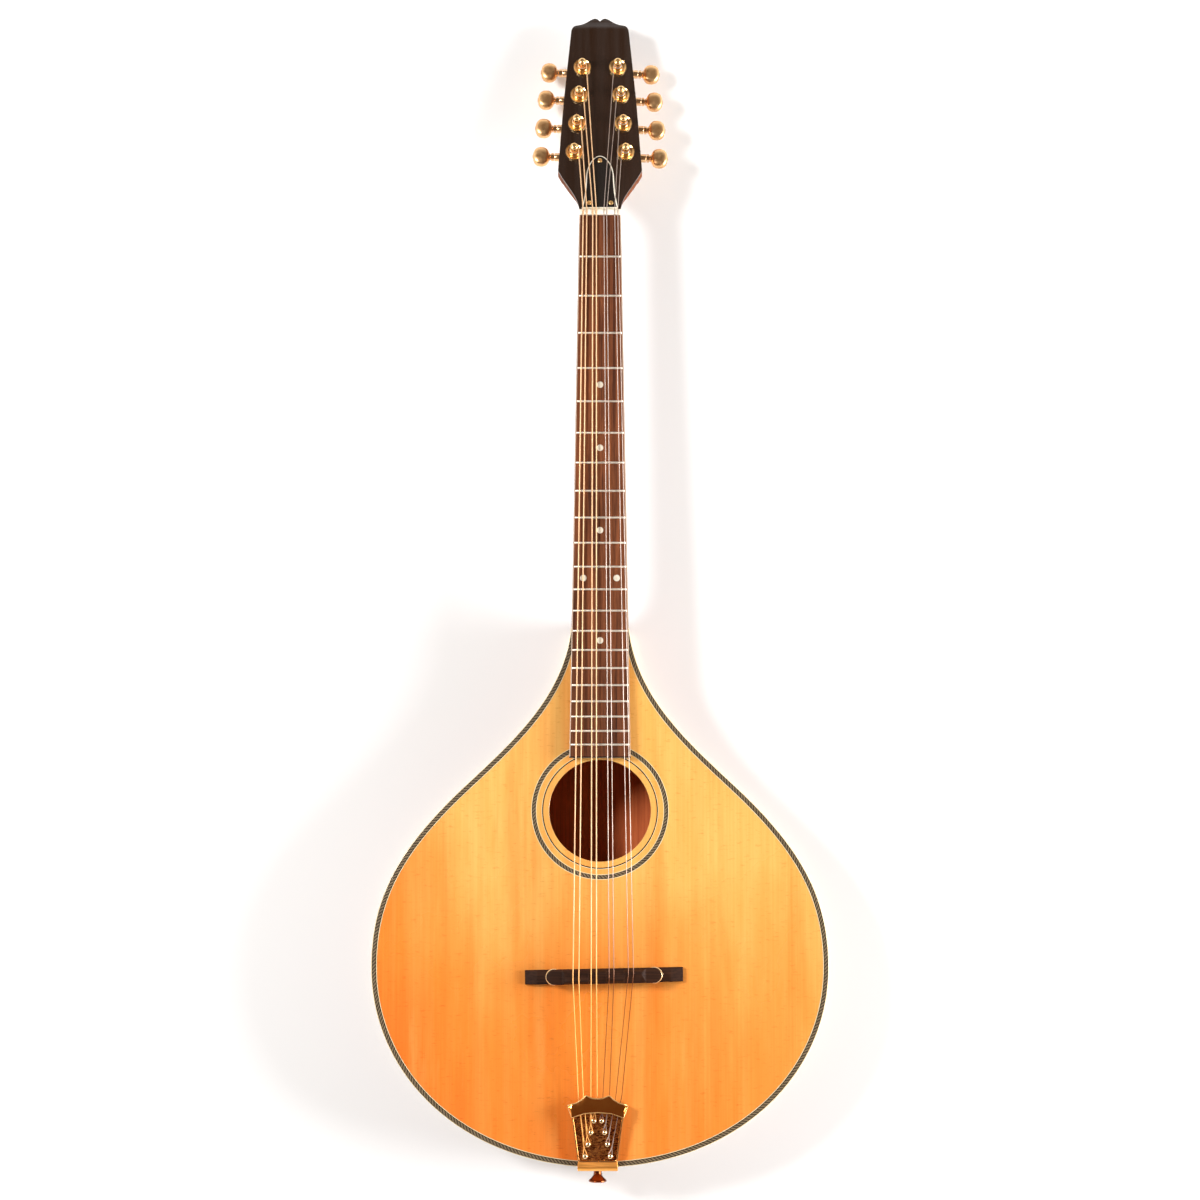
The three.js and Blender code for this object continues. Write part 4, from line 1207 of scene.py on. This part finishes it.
def make_bridge():
    half, thick = BRIDGE["length"] / 2, BRIDGE["height"]
    rings = []
    for x, height, shrink in ((-half, 3.7, 0.35), (-half + 0.35, 4.1, 0), (-half + 10.1, thick - 0.1, 0),
                              (-half + 10.7, thick, 0), (half - 10.7, thick, 0),
                              (half - 10.1, thick - 0.1, 0),
                              (half - 0.35, 4.1, 0), (half, 3.7, 0.35)):
        w = BRIDGE["width"] / 2 - shrink
        rings.append([(x, -w, 0), (x, w, 0), (x, w, height - 0.8), (x, w - 0.22, height - 0.24),
                      (x, w - 0.8, height), (x, 0.8 - w, height), (x, 0.22 - w, height - 0.24),
                      (x, -w, height - 0.8)])
    piece("bridge_foot", [skin(rings)], EBONY, place=bridge_frame, replaces=["bridge_base"],
          sharp=12)

    pitch = 0.7
    thread = [(0, 1.4), (1.7, 1.4)]
    for i in range(16):
        thread += [(2.0, 1.75 + pitch * i), (1.72, 2.1 + pitch * i)]
    thread += [(1.6, 13.3), (0, 13.4)]
    low, high = WHEEL["low"], WHEEL["low"] + WHEEL["thickness"]
    bore, rim = WHEEL["bore"], WHEEL["radius"]
    wheel = [(bore, low), (rim - 0.7, low), (rim - 0.1, low + 0.4), (rim, low + 0.6), (rim, high - 0.6),
             (rim - 0.1, high - 0.4), (rim - 0.7, high), (bore, high)]
    for side, name in ((-1, "bass"), (1, "treble")):
        place = bridge_frame @ Matrix.Translation((side * STUD_SPACING / 2, 0, 0))
        piece(f"stud_{name}", [lathe(thread, 24)], GOLD, place=place,
              replaces=[f"bridge_stud_{name}"])
        piece(f"wheel_{name}", [lathe(wheel, 176, teeth=44, depth=0.3, closed=True)], GOLD_BRIGHT,
              f"thumbwheel_{name}", place=place, replaces=[f"thumbwheel_{name}"])
    make_saddle()


def make_saddle():
    """A bar with round ears, whose crown slopes to a narrow crest that steps under each pair."""
    low, top, ear, end = SADDLE["low"], SADDLE["top"], SADDLE["ear"], SADDLE["end_radius"]
    reach = STUD_SPACING / 2 + end
    places = [x - BRIDGE["x"] for _, _, _, x, _, _ in STRINGS]
    rings = []
    steps = 290
    for i in range(steps + 1):
        x = -reach * math.cos(math.pi * i / steps) if i < 12 or i > steps - 12 else \
            -reach + 2 * reach * i / steps
        over = max(abs(x) - STUD_SPACING / 2, 0)
        wide = math.sqrt(max(end * end - over * over, 0.04))
        rise = 1 - eased((abs(x) - SADDLE["crown"] + 0.5) / 4.5)
        height = ear + (top - ear) * rise
        for place in places:
            height -= 0.22 * math.exp(-((x - place) / 0.55) ** 4)
        crest = crest_offset(x) * rise
        flat = 1.15 * rise + (wide - 0.7) * (1 - rise)
        shoulder = low + 2.4 * rise + (ear - low - 0.7) * (1 - rise)
        near, far = min(crest + flat, wide - 0.3), max(crest - flat, 0.3 - wide)
        drop = height - shoulder
        rings.append([
            (x, 0.35 - wide, low), (x, wide - 0.35, low), (x, wide, low + 0.35), (x, wide, shoulder),
            (x, near + (wide - near) * 0.42, height - drop * 0.30),
            (x, near + (wide - near) * 0.1, height - drop * 0.06), (x, near - 0.25, height),
            (x, far + 0.25, height), (x, far - (wide + far) * 0.1, height - drop * 0.06),
            (x, far - (wide + far) * 0.42, height - drop * 0.30),
            (x, -wide, shoulder), (x, -wide, low + 0.35),
        ])
    piece("saddle_bar", [skin(rings)], EBONY, "saddle", place=bridge_frame,
          replaces=["bridge_saddle"], sharp=30)


# ---- Tailpiece and end pin ----
TRAY = {"front": -107.6, "back": -156.0, "floor": 3.0}
BAND_LOW = 12.0
BAND_REACH = 25.5
tail_frame = Matrix.Translation((TAIL_X, 0, BODY_DEPTH))


def strap(route, half_widths, thickness):
    """A bent plate: its middle line runs along (y, z) points, with a half width at each."""
    rings = []
    for i, (y, z) in enumerate(route):
        before, after = route[max(i - 1, 0)], route[min(i + 1, len(route) - 1)]
        along = Vector((after[0] - before[0], after[1] - before[1])).normalized()
        normal = Vector((-along.y, along.x))
        section = box_section(half_widths[i], -thickness / 2, thickness / 2, 0.25)
        rings.append([(x, y + normal.x * t, z + normal.y * t) for x, t in section])
    return skin(rings)


def make_tray():
    """The floor between the walls, whose round rim rises towards the bridge."""
    half = path((0, TRAY["back"]), [(13.5, TRAY["back"])], [(16.8, TRAY["back"]), (17.3, -152.6)],
                [(23.5, TRAY["front"])], steps=8)
    loop = mirrored(half)

    def rim_height(point):
        return 8.0 + 5.0 * ((point.y - TRAY["back"]) / (TRAY["front"] - TRAY["back"]))

    floor = TRAY["floor"]
    wall = [(0.0, floor + 0.5), (0.5, floor), (1.7, floor)]
    for k in range(9):
        lean = math.pi * k / 8
        wall.append((round(0.85 + 0.85 * math.cos(lean), 4),
                     lambda p, lean=lean: rim_height(p) - 0.85 * (1 - math.sin(lean))))
    points, _ = band(loop, wall)
    rings = [points[i:i + len(wall)] for i in range(0, len(points), len(wall))]
    front = len(half)
    piece("tail_rim", [skin(rings[front:] + rings[:front])], GOLD_RIM, place=tail_frame,
          replaces=["tailpiece"])
    piece("tail_floor", [plate(offset(loop, 0.9), [], [(floor + 0.1, 0), (floor + 1.3, 0)])], ENGRAVED,
          place=tail_frame)


def make_cover_band():
    """The scrolled band over the tray's mouth, beaded along both edges."""
    lower = [(0, -114.0), (11.5, -114.9), (21.9, -118.5), (25.5, -108.5)]
    upper = [(0, -102.6), (4.5, -102.2), (9.8, -99.9), (13.5, -103.4), (18, -106.2), (25.5, -108.3)]
    rings = []
    steps = 120
    for i in range(steps + 1):
        x = -BAND_REACH + 2 * BAND_REACH * i / steps
        y0, y1 = polyline(lower, abs(x)), polyline(upper, abs(x))
        droop = 1.6 * eased((abs(x) - 21.5) / 4.0)
        ring = [(x, y0, BAND_LOW - droop)]
        for k in range(17):
            u = k / 16
            crown = 0.9 * math.sin(math.pi * u) ** 0.9
            ring.append((x, y0 + (y1 - y0) * u, BAND_LOW + 1.0 + crown - droop))
        ring.append((x, y1, BAND_LOW - droop))
        rings.append(ring)
    near = [ring[1] for ring in rings]
    far = [ring[-2] for ring in rings]
    beads = [(tube(edge, size, 10), 1) for edge, size in ((near, 0.4), (far, 0.55))]
    piece("tail_cover_band", [skin(rings)] + beads, [GOLD_COVER, GOLD_BEAD], place=tail_frame,
          sharp=50)


def make_bend_plate():
    """The plate that bends over the body's edge, with the two screws that hold it."""
    bend = [(-154.5, 5.6), (-157.5, 6.1)]
    bend += [(-159.2 - 3.6 * math.sin(a), 2.6 + 3.6 * math.cos(a))
             for a in (math.pi / 2 * k / 10 for k in range(11))]
    bend += [(-162.8, -10), (-162.8, -30), (-162.8, -52), (-162.8, -55), (-162.8, -57), (-162.8, -58)]
    widths = [16.2, 16.8] + [17.0] * 11 + [16.4, 15.4, 14.6, 13.4, 10.6, 7.0]
    piece("tail_bend_plate", [strap(bend, widths, 1.8)], GOLD_PLATE, place=tail_frame)
    for number, (x, z) in enumerate(((-9.5, -18), (9.5, -18))):
        face = Matrix.Translation((x, -163.7, z)) @ Matrix.Rotation(math.pi / 2, 4, "X")
        piece(f"tail_screw_{number + 1}", slotted_screw(2.4, 1.0), GOLD, place=tail_frame @ face)


def make_hooks():
    floor = TRAY["floor"]
    stud = [(0, floor + 0.8), (2.0, floor + 0.8), (1.7, floor + 1.6), (1.15, floor + 2.2), (1.15, 7.9),
            (1.75, 8.2), (2.15, 8.8), (2.1, 9.4), (1.6, 9.95), (0.8, 10.3), (0, 10.4)]
    for row, (x, y) in enumerate(HOOKS, 1):
        for side, name in ((-1, "bass"), (1, "treble")):
            piece(f"hook_{name}_{row}", [lathe(stud, 24)], GOLD_BRIGHT,
                  place=tail_frame @ Matrix.Translation((side * x, y, 0)))


def make_end_pin():
    """A turned pin: a wide cone under a domed gold button. The cone's gold is painted dark: painted shade
    for its dark reflections.
    """
    profile = [(0, 146), (3.6, 146), (3.6, 161.4), (3.6, 164.3), (5.9, 164.3), (5.9, 165.4), (5.2, 165.9),
               (3.5, 167.2), (3.3, 169.0), (3.7, 171.4), (5.2, 173.6), (7.1, 175.2), (7.8, 176.2),
               (7.8, 176.8), (7.3, 177.4), (5.6, 177.8), (0, 177.95)]
    cap = [(0, 177.2), (3.0, 177.2), (3.0, 177.85), (2.4, 178.0), (0, 178.0)]
    place = Matrix.Translation((TAIL_X, 0, PIN_Z)) @ Matrix.Rotation(math.pi / 2, 4, "X")
    piece("strap_pin", [(lathe(profile, 44), 0), (lathe(cap, 24), 1)], [GOLD_PAINTED_DARK, GOLD],
          place=place, replaces=["end_pin"])


# ---- Strings ----
HOOK_REACH = 1.6
WRAPS = 22


def make_strings():
    """Each string runs from its post over the nut and the saddle to a loop round its hook."""
    for side, row, nut, saddle, tail, radius in STRINGS:
        sign = -1 if side == "bass" else 1
        finish, slot = WIRES[side]
        node = f"string_{side}_{row}"
        post = tuner_frame(f"tuner_{side}_{row}") @ Vector((-COIL_RADIUS - radius, 0, CONTACT))
        behind = neck_frame @ Vector((nut, NUT_LENGTH - 0.4, 0.35 + radius))
        front = neck_frame @ Vector((nut, 0.6, 0.4 + radius))
        across = saddle - BRIDGE["x"]
        crest = bridge_frame @ Vector((across, crest_offset(across), SADDLE["top"] - 0.2 + radius))
        lead = front.lerp(crest, 0.002)
        main = tube([post, behind, front, lead, crest], radius, 12)
        made = piece(node + "_main", [main], finish, body=None, replaces=[node])
        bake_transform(made)

        hook_x, hook_y = HOOKS[row - 1]
        hook = Vector((TAIL_X + sign * hook_x, hook_y, BODY_DEPTH + 7.0))
        mouth = Vector((tail, -100, BODY_DEPTH + 9.6))
        toward = (mouth - hook).normalized()
        join = hook + toward * 7.0
        fall = tube([crest, crest.lerp(mouth, 0.5), mouth, join], radius, 12)
        made = piece(node + "_fall", [fall], finish, body=None)
        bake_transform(made)

        beside = toward.cross(Vector((0, 0, 1))).normalized()
        reach = HOOK_REACH + radius
        around = [math.radians(60 + 240 * k / 12) for k in range(13)]
        loop = [hook + toward * reach * math.cos(a) * 0.9 + beside * reach * math.sin(a) for a in around]
        loop = [join] + loop + [join]
        wrap = [join + toward * 8.0 * k / WRAPS for k in range(WRAPS + 1)]
        thick = [radius * (1.75 if k % 2 else 1.5) for k in range(WRAPS + 1)]
        piece(node + "_loop", [tube(loop, radius * 0.8, 8), tube(wrap, thick, 10)], finish)


make_studio()
make_top()
make_sides()
make_back()
make_inside()
make_neck()
make_heel_cap()
make_fretboard()
make_nut()
make_rod_cover()
make_tuners()
make_bridge()
make_tray()
make_cover_band()
make_bend_plate()
make_hooks()
make_end_pin()
make_strings()
